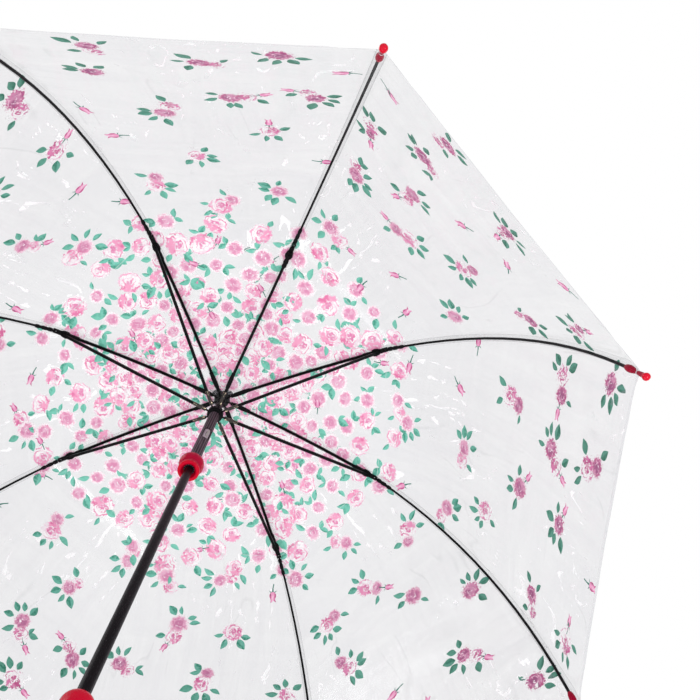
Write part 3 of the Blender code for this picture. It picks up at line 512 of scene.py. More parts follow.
def mesh_of(name, points, faces, smooth=True):
    mesh = bpy.data.meshes.new(name)
    mesh.from_pydata([tuple(map(float, p)) for p in points], [], faces)
    mesh.validate()
    if smooth:
        mesh.shade_smooth()
    return mesh


def carry(mesh, **columns):
    """Put values on a mesh's points: whole numbers, numbers or vectors."""
    for label, values in columns.items():
        values = np.asarray(values)
        vectors, whole = values.ndim == 2, values.dtype.kind == "i"
        kind = "FLOAT_VECTOR" if vectors else "INT" if whole else "FLOAT"
        mesh.attributes.new(label, kind, "POINT").data.foreach_set(
            "vector" if vectors else "value", values.astype(np.int32 if whole else np.float32).ravel())


def lay_uv(mesh, name, flat):
    """A UV for each face corner from one for each point."""
    corners = np.zeros(len(mesh.loops), np.int32)
    mesh.loops.foreach_get("vertex_index", corners)
    mesh.uv_layers.new(name=name).data.foreach_set("uv", flat[corners].ravel())


# ---- The dome's surface ----
def film_line():
    """(radius, height) down rib 1, in the middle of the film, read off the film's solids."""
    on_the_rib, one_spot = 0.08, 2.5 * MM           # in radians off the rib, and between two spots
    spots = set()
    for name in ("canopy_upper_1", "canopy_lower_1"):
        for vert in NODES[name].data.vertices:
            x, y, z = vert.co
            if abs(math.atan2(y, x)) < on_the_rib:
                spots.add((round(math.hypot(x, y), 6), round(z, 6)))
    spots = sorted(sorted(spots), key=lambda p: -math.atan2(p[1] - 0.45, p[0]))
    rows = [[spots[0]]]
    for spot in spots[1:]:
        if math.dist(spot, rows[-1][0]) < one_spot:
            rows[-1].append(spot)
        else:
            rows.append([spot])
    return np.array([np.mean(row, axis=0) for row in rows])


def smooth_line(knots, per=14):
    """A dense curve through the knots, with its length so far in the third column."""
    ends = np.vstack([2 * knots[0] - knots[1], knots, 2 * knots[-1] - knots[-2]])
    dense = []
    for a, b, c, d in zip(ends, ends[1:], ends[2:], ends[3:]):
        before, here, after = np.linalg.norm(b - a), np.linalg.norm(c - b), np.linalg.norm(d - c)
        leave = ((c - b) / here * before + (b - a) / before * here) / (before + here) * here
        arrive = ((d - c) / after * here + (c - b) / here * after) / (here + after) * here
        for j in range(per):
            u = j / per
            dense.append((2 * u**3 - 3 * u**2 + 1) * b + (u**3 - 2 * u**2 + u) * leave
                         + (3 * u**2 - 2 * u**3) * c + (u**3 - u**2) * arrive)
    dense = np.array(dense + [knots[-1]])
    steps = np.linalg.norm(np.diff(dense, axis=0), axis=1)
    return np.column_stack([dense, np.concatenate([[0], np.cumsum(steps)])])


LINE = smooth_line(film_line())
FILM_LENGTH = LINE[-1, 2]
FOLD = float(np.interp(-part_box("canopy_upper_1")[0].z, -LINE[:, 1], LINE[:, 2]))   # upper meets lower panel
HEM_PULL = 10 * MM          # the hem runs this far up from the line between two tips
SAG = 5 * MM                # how far a lower panel's middle hangs inside the chord between its ribs
TAUT = 0.72                 # the upper panels stand out by this share of it, so folded film clears the clips
SAG_PLACES = (0, 0.12, 0.28, 0.42, 0.60, 0.85, 1)
SAG_SHARES = (0, -0.5 * TAUT, -TAUT, -TAUT, 0.8, 0.7, 0.2)
RIPPLE = 0.16 * MM          # height of the film's slow waves
TUG = 1.1 * MM              # height of the folds that fan out from each tip
HEM_SHARE, TIP_SHARE = 0.20, 0.28       # last shares of the panel that the hem's pull and the tips' folds reach
FOLDS_AT_TIP, TIP_WIDTH = 26, 0.165      # how closely they fan, and half the hem's width, in metres
RIPPLES = np.random.default_rng(11)
WAVES = [(RIPPLES.uniform(14, 40), RIPPLES.uniform(-9, 9), RIPPLES.uniform(0, 6.28), RIPPLES.uniform(0.3, 1))
         for _ in range(9)]


def profile(s):
    """Radius and height of the film over a rib."""
    return np.interp(s, LINE[:, 2], LINE[:, 0]), np.interp(s, LINE[:, 2], LINE[:, 1])


def half_width(s):
    """Half the straight distance between two ribs."""
    return profile(s)[0] * math.sin(HALF)


def turned_about(points, k):
    """Points turned by k ribs round the shaft."""
    c, w = math.cos(k * TURN), math.sin(k * TURN)
    x, y, z = points[..., 0], points[..., 1], points[..., 2]
    return np.stack([x * c - y * w, x * w + y * c, z], axis=-1)


def surface(s, t, inward=0.0):
    """Points of the panel between ribs 1 and 2: s down the rib, t from -1 to 1 across."""
    s, t = np.broadcast_arrays(np.asarray(s, float), np.asarray(t, float))
    share = s / FILM_LENGTH
    near_hem = np.clip((share - 1 + HEM_SHARE) / HEM_SHARE, 0, 1)
    s = s - HEM_PULL * (1 - np.abs(t) ** 7) * near_hem**2
    r, z = profile(s)
    ahead, behind = profile(np.minimum(s + MM, FILM_LENGTH)), profile(np.maximum(s - MM, 0))
    dr, dz = ahead[0] - behind[0], ahead[1] - behind[1]
    size = np.hypot(dr, dz)
    bay, from_rib = 1 - t * t, 1 - np.abs(t)
    ripple = 0.0
    for fast, slow, phase, weight in WAVES:
        ripple = ripple + weight * np.sin(fast * share * 2.2 + slow * t + phase + 1.4 * np.sin(3 * t + phase))
    tug = np.exp(-(from_rib / 0.30) ** 2) * np.clip((share - 1 + TIP_SHARE) / TIP_SHARE, 0, 1) ** 1.5
    past_tip = np.maximum(1.012 - share, 1e-4) * FILM_LENGTH
    fan = np.sin(np.arctan2(from_rib * TIP_WIDTH, past_tip) * FOLDS_AT_TIP)
    depth = SAG * bay * np.interp(share, SAG_PLACES, SAG_SHARES)
    depth = depth + RIPPLE * ripple * bay ** 0.5 + TUG * tug * fan * bay ** 0.35 + inward
    middle, side = r * math.cos(HALF) + dz / size * depth, r * math.sin(HALF) * t
    return turned_about(np.stack([middle, side, z - dr / size * depth], axis=-1), 0.5)


def panel_mesh(name, k, s_from, s_to, rows, columns):
    """Film between two ribs as one sheet, with its cut in metres as UV and its distance from rib and hem."""
    even = np.linspace(-1, 1, columns + 1)
    t = np.sin(even * math.pi / 2) * 0.45 + even * 0.55      # closer columns by the ribs
    s, t = (grid.ravel() for grid in np.meshgrid(np.linspace(s_from, s_to, rows + 1), t, indexing="ij"))
    faces = []
    for i in range(rows):
        for j in range(columns):
            a = i * (columns + 1) + j
            faces.append((a, a + columns + 1, a + columns + 2, a + 1))
    mesh = mesh_of(name, turned_about(surface(s, t), k), faces)
    lay_uv(mesh, "cut", np.stack([t * half_width(s), s], axis=-1))
    carry(mesh, from_rib=(1 - np.abs(t)) * half_width(s), from_hem=FILM_LENGTH - s)
    return mesh


def keep_folding(obj):
    """Gives a canopy piece its own copy of its mesh."""
    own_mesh(obj)


# ---- The print ----
MOTIFS = bpy.data.collections.new("print_motifs")
FULL, OPEN, LEAF_BROAD, LEAF_SLIM, BUD, STEM = range(6)      # a motif's place in the collection
BUD_KIND = 0.5              # the blossom ink's third kind, between full (0) and open (1)
LAYERS, LAYER_STEP = 23, 0.012 * MM                     # motifs that overlap lie in steps, so none flickers
PRINT_DEPTH = 0.12 * MM     # the print lies this far inside the film
PRINT_EDGE, PRINT_END = 0.4 * MM, 0.2 * MM      # bare film at a panel's welds, and where it is parted
DENSE, DENSE_ROOM = (4 * MM, 262 * MM), 21.5 * MM       # blossoms round the crown: span down the rib, room
THINNED, THINNING = 150 * MM, 0.12          # from here on they thin out, by this share of the way
LOOSE_FROM, LOOSE_MARGIN = 276 * MM, 34 * MM            # bouquets: from the crown, and from the hem
BOUQUET, BOUQUET_ROOM, BUD_ROOM = 14.8 * MM, 77 * MM, 56 * MM       # its first blossom, and the room each has
FILL_FROM, FILL_MARGIN, FILL_ROOM = 268 * MM, 18 * MM, 54 * MM      # buds where there is room left
FIRST_SEED = 2030


def motif(name, outline, faces, material_index):
    mesh = mesh_of(name, [(x, y, 0) for x, y in outline], faces, smooth=False)
    mesh.materials.append(BLOSSOM)
    mesh.materials.append(LEAF)
    mesh.polygons.foreach_set("material_index", [material_index] * len(mesh.polygons))
    MOTIFS.objects.link(bpy.data.objects.new(name, mesh))


def disc_motif(name, lobes, wave, around=20):
    """A flat blossom: a fan round a centre with a scalloped edge."""
    points = [(0, 0)]
    for ring in (0.5, 1.0):
        for i in range(around):
            angle = math.tau * i / around
            r = ring * (1 + wave * ring**2 * math.sin(lobes * angle) + 0.4 * wave * math.sin(3 * angle + 1))
            points.append((r * math.cos(angle), r * math.sin(angle)))
    faces = []
    for i in range(around):
        a, b = 1 + i, 1 + (i + 1) % around
        faces += [(0, a, b), (a, a + around, b + around, b)]
    motif(name, points, faces, 0)


def leaf_motif(name, fat, curl, steps=8):
    """A flat leaf: two rows of quads along its midrib."""
    points, faces = [], []
    for i in range(steps + 1):
        u = i / steps
        half = fat * math.sin(math.pi * min(max(u, 0.02), 0.98)) ** 0.8 * (1.15 - 0.35 * u)
        x, bend = 2 * u - 1, curl * ((2 * u - 1) ** 2 - 1)
        points += [(x, bend - half), (x, bend), (x, bend + half)]
    for a in range(0, 3 * steps, 3):
        faces += [(a, a + 3, a + 4, a + 1), (a + 1, a + 4, a + 5, a + 2)]
    motif(name, points, faces, 1)


# in the order of their numbers; the bud is closed, with a tip that opens in two points, and the stem
# has three pointed sepals at its head
disc_motif("m0_full", 9, 0.035)
disc_motif("m1_open", 7, 0.075)
leaf_motif("m2_leaf", 0.64, 0.08)
leaf_motif("m3_leaf_slim", 0.47, -0.16)
motif("m4_bud", [
    (-0.1, 0), (-1, 0), (-0.90, 0.42), (-0.55, 0.72), (-0.10, 0.74), (0.35, 0.52), (0.62, 0.60), (1, 0.86),
    (0.80, 0.42), (0.62, 0.12), (0.92, -0.10), (1.05, -0.52), (0.62, -0.44), (0.30, -0.54), (-0.10, -0.74),
    (-0.55, -0.72), (-0.90, -0.42)], [(0, i, i % 16 + 1) for i in range(1, 17)], 0)
motif("m5_stem", [
    (-1, 0.06), (-0.93, 0.19), (-0.30, -0.07), (-0.30, 0.08), (0.28, -0.12), (0.28, 0.12), (0.40, -0.26),
    (0.40, 0.26), (0.66, 0), (0.02, -0.62), (0.02, 0.62), (0.98, -0.40), (0.98, 0.40)],
    [(0, 2, 3, 1), (2, 4, 5, 3), (4, 6, 8, 7, 5), (4, 9, 6), (5, 7, 10), (6, 11, 8), (7, 8, 12)], 1)


def spread(rng, tries, low, high, share, room, kept=np.empty((0, 3))):
    """Random places (across, along, room) that stand clear of each other and of the ones kept."""
    first = len(kept)
    along = rng.uniform(low, high, tries)
    across = rng.uniform(-share, share, tries) * half_width(along)
    for x, y in zip(across, along):
        clear = room(y, len(kept) - first)
        if (np.hypot(kept[:, 0] - x, kept[:, 1] - y) > np.maximum(kept[:, 2], clear)).all():
            kept = np.vstack([kept, (x, y, clear)])
    return kept[first:]


def step(x, y, far, spin):
    """The place that lies far from (x, y), in the direction of the spin."""
    return x + far * math.cos(spin), y + far * math.sin(spin)


def print_layout(seed):
    """Where each motif of one panel lies: (across, along, motif, kind, size, stretch, spin, layer)."""
    rng = np.random.default_rng(seed)
    spots, leafy = [], []

    def any_way():
        return rng.uniform(0, 6.28)

    def put(place, number, kind, size, spin, stretch=1.0):
        spots.append((*place, number, kind, size, stretch, spin, len(spots)))

    def bud(x, y, spin, size=7.0 * MM):
        put((x, y), STEM, 1, 1.45 * size, spin)
        put(step(x, y, 1.5 * size, spin), BUD, BUD_KIND, 1.15 * size, spin, 0.80)

    def leaf(x, y, spin, half):
        """A leaf from its foot, unless another already lies there."""
        x, y = step(x, y, half, spin)
        if all(math.hypot(x - a, y - b) > half * 0.98 for a, b in leafy):
            leafy.append((x, y))
            put((x, y), LEAF_BROAD if rng.random() < 0.6 else LEAF_SLIM, 0, half, spin)

    def leaves(x, y, far, spin, number, low, high):
        """Leaves that spread from one foot at a blossom's edge."""
        for i in range(number):
            turn = spin + (i - (number - 1) / 2) * 0.95 + rng.uniform(-0.2, 0.2)
            leaf(*step(x, y, far, spin), turn, rng.uniform(low, high) * MM)

    def bouquet(x, y, heading, blossoms, with_bud):
        """Unequal blossoms in a row, a fan of leaves past one end, a leaf or a bud at the other."""
        centres, sizes = [(x, y)], [BOUQUET * rng.uniform(0.88, 1.14)]
        for _ in range(1, blossoms):
            sizes.append(sizes[-1] * rng.uniform(0.72, 0.92))
            centres.append(step(*centres[-1], (sizes[-1] + sizes[-2]) * 0.66, heading + rng.uniform(-0.5, 0.5)))
        for i in range(int(rng.integers(3, 6))):
            spin = heading + math.pi + (i - 1.6) * 0.66 + rng.uniform(-0.2, 0.2)
            leaf(*step(x, y, sizes[0] * 0.88, spin), spin + rng.uniform(-0.4, 0.4), rng.uniform(6.0, 9.2) * MM)
        leaves(*centres[-1], sizes[-1] * 0.86, heading + rng.choice([-1, 1]) * rng.uniform(0.9, 1.5),
               int(rng.integers(1, 3)), 5.6, 7.8)
        if with_bud:
            spin = heading + rng.uniform(-0.5, 0.5)
            bud(*step(*centres[-1], sizes[-1] * 0.9, spin), spin, 5.8 * MM)
        first = int(rng.random() < 0.4)
        for n in reversed(range(blossoms)):
            kind = (first + n) % 2
            put(centres[n], kind, kind, sizes[n] * (1.12 if kind else 1.0), any_way(), rng.uniform(0.84, 1.0))

    # close-set blossoms round the crown, thinning towards the elbows
    blossoms = []
    for x, y, _ in spread(rng, 7000, *DENSE, 1.04, lambda y, n: DENSE_ROOM + max(0, y - THINNED) * THINNING):
        kind = int(rng.random() < 0.56)
        blossoms.append((x, y, rng.uniform(*((15.5, 21.0) if kind == OPEN else (13.0, 17.8))) * MM, kind))
    for x, y, size, _ in blossoms:
        leaves(x, y, size * 0.84, any_way(), int(rng.integers(1, 4)), 6.0, 9.4)
    for x, y, size, kind in sorted(blossoms, key=lambda blossom: rng.random()):
        put((x, y), kind, kind, size, any_way(), rng.uniform(0.86, 1.0))
    for x, y, size, _ in blossoms:
        if rng.random() < 0.62:
            leaves(x, y, size * 0.86, any_way(), int(rng.integers(1, 4)), 5.4, 7.8)
        elif rng.random() < 0.14:
            bud(x + size * 0.9, y, any_way(), 5.6 * MM)

    # three leaves round the crown
    for side in (-0.62, 0.0, 0.62):
        along = rng.uniform(13, 24) * MM
        leaf(side * half_width(along), along, math.pi / 2 + side * 0.5 + rng.uniform(-0.3, 0.3),
             rng.uniform(6.5, 8.5) * MM)

    # bouquets and lone buds from there to the hem
    def lone_bud(n):
        """Every fifth spot holds a bud by itself."""
        return n % 5 == 4

    loose = spread(rng, 5000, LOOSE_FROM, FILM_LENGTH - LOOSE_MARGIN, 0.86,
                   lambda y, n: BUD_ROOM if lone_bud(n) else BOUQUET_ROOM)
    for n, (x, y, _) in enumerate(loose):
        if lone_bud(n):
            bud(x, y, any_way())
        else:
            bouquet(x, y, any_way(), 2 if rng.random() < 0.7 else 1, rng.random() < 0.3)
    for x, y, _ in spread(rng, 2000, FILL_FROM, FILM_LENGTH - FILL_MARGIN, 0.90, lambda y, n: FILL_ROOM, loose):
        bud(x, y, any_way(), 6.6 * MM)
    return np.array(spots)


def geometry_tree(name, *inputs):
    """A Geometry Nodes tree with named inputs, with the ways to add a node, read a value and close it."""
    tree = bpy.data.node_groups.new(name, "GeometryNodeTree")
    tree.is_modifier = True
    for label, kind in (("Geometry", "Geometry"), *inputs):
        tree.interface.new_socket(label, in_out="INPUT", socket_type="NodeSocket" + kind)
    tree.interface.new_socket("Geometry", in_out="OUTPUT", socket_type="NodeSocketGeometry")
    nodes, links = tree.nodes, tree.links

    def add(kind, settings=None, **values):
        node = nodes.new(kind)
        for label, value in (settings or {}).items():
            setattr(node, label, value)
        for label, value in values.items():
            socket = next(s for s in node.inputs if s.name == label.replace("_", " ") and s.enabled)
            if isinstance(value, bpy.types.NodeSocket):
                links.new(value, socket)
            else:
                socket.default_value = value
        return next(s for s in node.outputs if s.enabled)

    def carried(label, kind="FLOAT"):
        return add("GeometryNodeInputNamedAttribute", {"data_type": kind}, Name=label)

    def close(geometry):
        links.new(geometry, nodes.new("NodeGroupOutput").inputs[0])
        return tree

    return nodes.new("NodeGroupInput").outputs, add, carried, close


def baked(points, tree, **inputs):
    """The mesh that a tree makes from a point mesh."""
    obj = shown(points.name, points)
    modifier = obj.modifiers.new(tree.name, "NODES")
    modifier.node_group = tree
    for socket in tree.interface.items_tree:
        label = socket.name.replace(" ", "_")
        if socket.in_out == "INPUT" and label in inputs:
            modifier[socket.identifier] = inputs[label]
    graph = bpy.context.evaluated_depsgraph_get()
    made = bpy.data.meshes.new_from_object(obj.evaluated_get(graph))
    obj.modifiers.clear()
    bpy.data.objects.remove(obj)
    bpy.data.meshes.remove(points)
    return made


def point_mesh(name, points, **columns):
    """Loose points that carry values."""
    mesh = bpy.data.meshes.new(name)
    mesh.from_pydata(points, [], [])
    carry(mesh, **columns)
    return mesh


def scatter_tree():
    """Geometry Nodes: sets a motif on each point by the values that the point carries."""
    given, add, carried, close = geometry_tree(
        "set_motifs", ("Motifs", "Collection"), ("Size", "Float"), ("Layer Step", "Float"),
        ("Blossom Ink", "Material"), ("Leaf Ink", "Material"))
    motifs = add("GeometryNodeCollectionInfo", {"transform_space": "ORIGINAL"}, Collection=given["Motifs"],
                 Separate_Children=True, Reset_Children=True)
    sizes = add("ShaderNodeVectorMath", {"operation": "SCALE"}, Vector=carried("size", "FLOAT_VECTOR"),
                Scale=given["Size"])
    put = add("GeometryNodeInstanceOnPoints", None, Points=given["Geometry"], Instance=motifs,
              Pick_Instance=True, Instance_Index=carried("motif", "INT"),
              Rotation=add("ShaderNodeCombineXYZ", Z=carried("spin")), Scale=sizes)
    lift = add("ShaderNodeVectorMath", {"operation": "SCALE"}, Scale=given["Layer Step"],
               Vector=add("ShaderNodeCombineXYZ", Z=carried("layer")))
    moved = add("GeometryNodeSetPosition", None, Offset=lift,
                Geometry=add("GeometryNodeRealizeInstances", None, Geometry=put))
    leafy = add("FunctionNodeCompare", {"data_type": "INT", "operation": "GREATER_EQUAL"},
                A=carried("ink", "INT"), B=1)
    first = add("GeometryNodeSetMaterial", None, Geometry=moved, Material=given["Blossom Ink"])
    return close(add("GeometryNodeSetMaterial", None, Geometry=first, Material=given["Leaf Ink"],
                     Selection=leafy))


def flat_print(k):
    """The print of panel k, laid flat: across, along and a small height for its layer."""
    x, y, number, kind, size, stretch, spin, layer = print_layout(FIRST_SEED + k).T
    count, flat = len(x), np.zeros(len(x))
    mesh = point_mesh(
        "print_points", list(zip(x, y, flat)), motif=number.astype(int),
        ink=np.isin(number, (LEAF_BROAD, LEAF_SLIM, STEM)).astype(int), kind=kind, spin=spin,
        size=np.stack([size, size * stretch, size], axis=1), layer=layer % LAYERS,
        seed=np.random.default_rng(5).random(count), island=np.arange(count),
        centre=np.column_stack([x, y, flat]))
    return baked(mesh, scatter_tree(), Motifs=MOTIFS, Size=1.0, Layer_Step=LAYER_STEP, Blossom_Ink=BLOSSOM,
                 Leaf_Ink=LEAF)


def print_arrays(mesh):
    """The flat print as arrays, so that each panel's share can be cut and wrapped."""
    def read(data, field, width=1, dtype=np.float32):
        values = np.zeros(len(mesh.vertices) * width, dtype)
        data.foreach_get(field, values)
        return values.reshape(-1, width) if width > 1 else values

    arrays = {name: read(mesh.attributes[name].data, "value") for name in ("kind", "seed", "spin")}
    arrays.update({name: read(mesh.attributes[name].data, "vector", 3) for name in ("size", "centre")})
    arrays["island"] = read(mesh.attributes["island"].data, "value", dtype=np.int32)
    arrays["points"] = read(mesh.vertices, "co", 3)
    arrays["faces"] = [(tuple(face.vertices), int(mesh.materials[face.material_index] != BLOSSOM))
                       for face in mesh.polygons]
    return arrays


def wrapped_print(name, flat, k, s_from, s_to):
    """The print's share between two lengths down the rib, cut at the welds and laid on the film."""
    x, y = flat["points"][:, 0].astype(float), flat["points"][:, 1].astype(float)
    top, low = s_from + PRINT_END, s_to - PRINT_END
    inside = (y > top) & (y < low) & (np.abs(x) < half_width(np.clip(y, 0, FILM_LENGTH)) - PRINT_EDGE)
    wanted = np.isin(flat["island"], np.unique(flat["island"][inside]))
    y = np.clip(y, top, low)
    limit = half_width(y) - PRINT_EDGE
    x = np.clip(x, -limit, limit)
    points = turned_about(surface(y, x / half_width(y), inward=PRINT_DEPTH + flat["points"][:, 2]), k)
    dx, dy = x - flat["centre"][:, 0], y - flat["centre"][:, 1]
    c, w = np.cos(flat["spin"]), np.sin(flat["spin"])
    bloom = np.stack([(dx * c + dy * w) / flat["size"][:, 0], (dy * c - dx * w) / flat["size"][:, 1]], axis=1)
    order = np.cumsum(wanted) - 1
    faces, colours = [], []
    for face, colour in flat["faces"]:
        if wanted[face[0]] and len({tuple(np.round(points[i], 7)) for i in face}) >= 3:
            faces.append([int(order[i]) for i in reversed(face)])
            colours.append(colour)
    mesh = bpy.data.meshes.new(name)
    mesh.from_pydata([tuple(p) for p in points[wanted]], [], faces)
    mesh.materials.append(BLOSSOM)
    mesh.materials.append(LEAF)
    mesh.polygons.foreach_set("material_index", colours)
    lay_uv(mesh, "bloom", bloom[wanted])
    carry(mesh, kind=flat["kind"][wanted], seed=flat["seed"][wanted])
    mesh.shade_smooth()
    return mesh


def build_canopy():
    """Each panel's film and print, above and below the elbows, where the ribs fold."""
    spans = {"upper": (0.0, FOLD, 34, 28, "rib_inner_"), "lower": (FOLD, FILM_LENGTH, 52, 28, "rib_outer_")}
    for k in range(RIBS):
        flat_mesh = flat_print(k)
        flat = print_arrays(flat_mesh)
        bpy.data.meshes.remove(flat_mesh)
        for part, (s_from, s_to, rows, columns, ribs) in spans.items():
            number = str(k + 1)
            body = f"film_{part}_{number}"
            film = piece(f"canopy_{part}_film_{number}", panel_mesh(body, k, s_from, s_to, rows, columns),
                         body, FILM, slot="clear_film", replaces=[f"canopy_{part}_{number}"])
            ink = piece(f"canopy_{part}_print_{number}",
                        wrapped_print(f"print_{part}_{number}", flat, k, s_from, s_to), body)
            keep_folding(film)
            keep_folding(ink)
            s = np.linspace(s_from, s_to, 200)
            widths = 2 * half_width(s)
            area = ((widths[1:] + widths[:-1]) / 2 * np.diff(s)).sum()
    for obj in list(MOTIFS.objects):
        bpy.data.objects.remove(obj)


build_canopy()


# ---- Turned, swept and folded pieces ----
def skin(name, rings, closed_ends=True):
    """Quads between rings of points; a ring of one point is a pole."""
    starts = np.cumsum([0] + [len(ring) for ring in rings]).tolist()
    faces = []
    for a, b, ring, after in zip(starts, starts[1:], rings, rings[1:]):
        count = max(len(ring), len(after))
        for i in range(count):
            j = (i + 1) % count
            if len(ring) == 1:
                faces.append((a, b + i, b + j))
            elif len(after) == 1:
                faces.append((a + i, b, a + j))
            else:
                faces.append((a + i, b + i, b + j, a + j))
    if closed_ends and len(rings[0]) > 2:
        faces += [tuple(range(len(rings[0]))), tuple(range(starts[-1] - 1, starts[-2] - 1, -1))]
    mesh = mesh_of(name, [p for ring in rings for p in ring], faces)
    bm = bmesh.new()
    bm.from_mesh(mesh)
    bmesh.ops.remove_doubles(bm, verts=bm.verts, dist=1e-7)
    bmesh.ops.recalc_face_normals(bm, faces=bm.faces)
    bm.to_mesh(mesh)
    bm.free()
    mesh.shade_smooth()
    return mesh


def circle(centre, radius, side, up, sides):
    """A ring of points, or one point where it has no radius."""
    if radius < 1e-6:
        return [centre]
    return [centre + (side * math.cos(a) + up * math.sin(a)) * radius
            for a in (math.tau * i / sides for i in range(sides))]


def lathe(name, outline, foot, towards, sides=48):
    """A turned shape: outline holds (distance from the foot, radius), both in metres."""
    ahead = (towards - foot).normalized()
    side = ahead.orthogonal().normalized()
    rings = [circle(foot + ahead * along, radius, side, ahead.cross(side), sides) for along, radius in outline]
    return skin(name, rings, closed_ends=len(rings[0]) > 1 and outline[0] != outline[-1])


def tube(name, points, radius, sides):
    """A round strand along points, closed at both ends."""
    rings = []
    normal = None
    for point, before, after in zip(points, points[:1] + points, points[1:] + points[-1:]):
        ahead = (after - before).normalized()
        normal = ahead.orthogonal() if normal is None else normal - ahead * normal.dot(ahead)
        normal.normalize()
        rings.append(circle(point, radius, normal, ahead.cross(normal), sides))
    return skin(name, rings)


def pressed(name, foot, ahead, stations, corner=0.35, sides=24, lid=9.0):
    """A pressed sleeve, square with rounded corners: stations are (along, half width, half height) in mm.

    Its upper half is no wider than the lid, twice over."""
    up = ahead.cross(ACROSS)
    rings = []
    for along, wide, tall in stations:
        ring = []
        for i in range(sides):
            c, w = math.cos(math.tau * i / sides), math.sin(math.tau * i / sides)
            reach = min(wide, lid) if w > 0.1 else wide
            over, high = (math.copysign(abs(v) ** corner, v) * MM for v in (c, w))
            ring.append(foot + ahead * (along * MM) + ACROSS * (reach * over) + up * (tall * high))
        rings.append(ring)
    return skin(name, rings)


def joined(name, meshes):
    """Several meshes as one."""
    bm = bmesh.new()
    for mesh in meshes:
        bm.from_mesh(mesh)
        bpy.data.meshes.remove(mesh)
    mesh = bpy.data.meshes.new(name)
    bm.to_mesh(mesh)
    bm.free()
    mesh.shade_smooth()
    return mesh


def in_metres(*pairs):
    return [(a * MM, b * MM) for a, b in pairs]


def cap_axis():
    """Mouth and far end of rib 1's tip cap, both on its axis."""
    spots = np.array([v.co for v in NODES["tip_cap_1"].data.vertices])
    mouth_face = spots[spots[:, 2] > spots[:, 2].max() - 0.35 * MM]
    end = spots[spots[:, 2].argmin()]
    mouth = (mouth_face.min(axis=0) + mouth_face.max(axis=0)) / 2
    return Vector((mouth[0], 0, mouth[2])), Vector((end[0], 0, end[2]))


def build_caps():
    """Tip caps: an egg on the rod, a tied waist, a cone and a glossy ball; thread holds the film's corner."""
    mouth, end = cap_axis()
    length, ahead = (end - mouth).length, (end - mouth).normalized()
    ball, waist, foot = 3.5, 20.4, -3.0                  # in mm: radius, and places on the axis
    outline = in_metres((foot + 1.5, 1.62), (foot + 0.1, 1.75), (foot, 2.0), (foot + 0.3, 2.3))
    for u in np.linspace(0.06, 0.95, 18):
        radius = np.interp(u, (0, 0.12, 0.28, 0.42, 0.62, 0.80, 1), (2.3, 2.95, 3.38, 3.38, 2.80, 2.0, 1.4))
        outline.append(((foot + (waist - foot) * u) * MM, radius * MM))
    outline += in_metres((waist - 0.4, 1.34), (waist + 0.5, 1.34), (waist + 0.9, 1.70), (waist + 1.4, 1.90),
                         (waist + 6, 2.16), (waist + 10.5, 2.38))
    for turn in np.radians(range(-42, 80, 11)):
        outline.append((length - ball * MM * (1 - math.sin(turn)), ball * MM * math.cos(turn)))
    cap = lathe("tip_cap", outline + [(length, 0.0)], mouth, end, 32)
    carry(cap, along=[ahead.dot(v.co - mouth) for v in cap.vertices])

    up = ACROSS.cross(ahead).normalized()
    knot = mouth + ahead * (waist * MM)
    turns = 2.6 * math.tau
    wraps = [knot + ahead * ((turn / turns - 0.5) * 0.9 * MM)
             + (up * math.cos(turn) + ACROSS * math.sin(turn)) * (1.66 * MM)
             for turn in np.linspace(0, turns, 60)]
    strands = [tube("tie", wraps, 0.24 * MM, 6)]
    for side in (-1, 1):
        for x, y, z in surface(FILM_LENGTH - 1.0 * MM, np.array([-0.985, -0.97])):
            target = Vector((x, side * abs(y), z))
            start = knot + ACROSS * (side * 1.5 * MM) + up * 0.8 * MM
            strands.append(tube("tie", [start, (start + target) / 2 + ahead * 0.5 * MM, target], 0.16 * MM, 5))
    ties = joined("tie", strands)
    for k in range(RIBS):
        on_rib(k, "cap", cap, "rod", CAP_RED, slot="red_plastic", replaces=[f"tip_cap_{k + 1}"])
        on_rib(k, "cap_tie", ties, "rod", THREAD)
    bpy.data.meshes.remove(cap)
    bpy.data.meshes.remove(ties)


def build_collar():
    """Thumb collar: a bulb with fine turned lines, a groove and a flared ring round a stepped bore."""
    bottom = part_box("runner_collar")[0].z
    ring = [(4.3, 6.3), (4.0, 7.0), (0.9, 7.9), (0.3, 8.2), (0.0, 8.6), (0.0, 10.9), (0.3, 11.6), (1.0, 12.0),
            (3.4, 12.0), (4.1, 11.75), (4.6, 11.2), (5.2, 10.4), (6.0, 9.95), (7.0, 9.8), (8.4, 9.8),
            (9.2, 9.95), (10.2, 10.25)]
    bulb = []
    for a in range(152, 20, -4):
        line = 0.16 if 96 < a < 148 and (a // 4) % 3 == 0 else 0.0
        bulb.append((21 + 9.5 * math.cos(math.radians(a)), 6.3 + 7.7 * math.sin(math.radians(a)) - line))
    bore = [(30.4, 8.2), (30.9, 7.2), (31.0, 6.5), (30.8, 6.3), (4.3, 6.3)]
    foot = Vector((0, 0, bottom))
    mesh = lathe("collar", in_metres(*ring, *bulb, *bore), foot, foot + Vector((0, 0, 1)), 72)
    carry(mesh, height=[v.co.z - bottom for v in mesh.vertices])
    piece("thumb_collar", mesh, "runner", COLLAR_RED, slot="red_plastic", replaces=["runner_collar"])


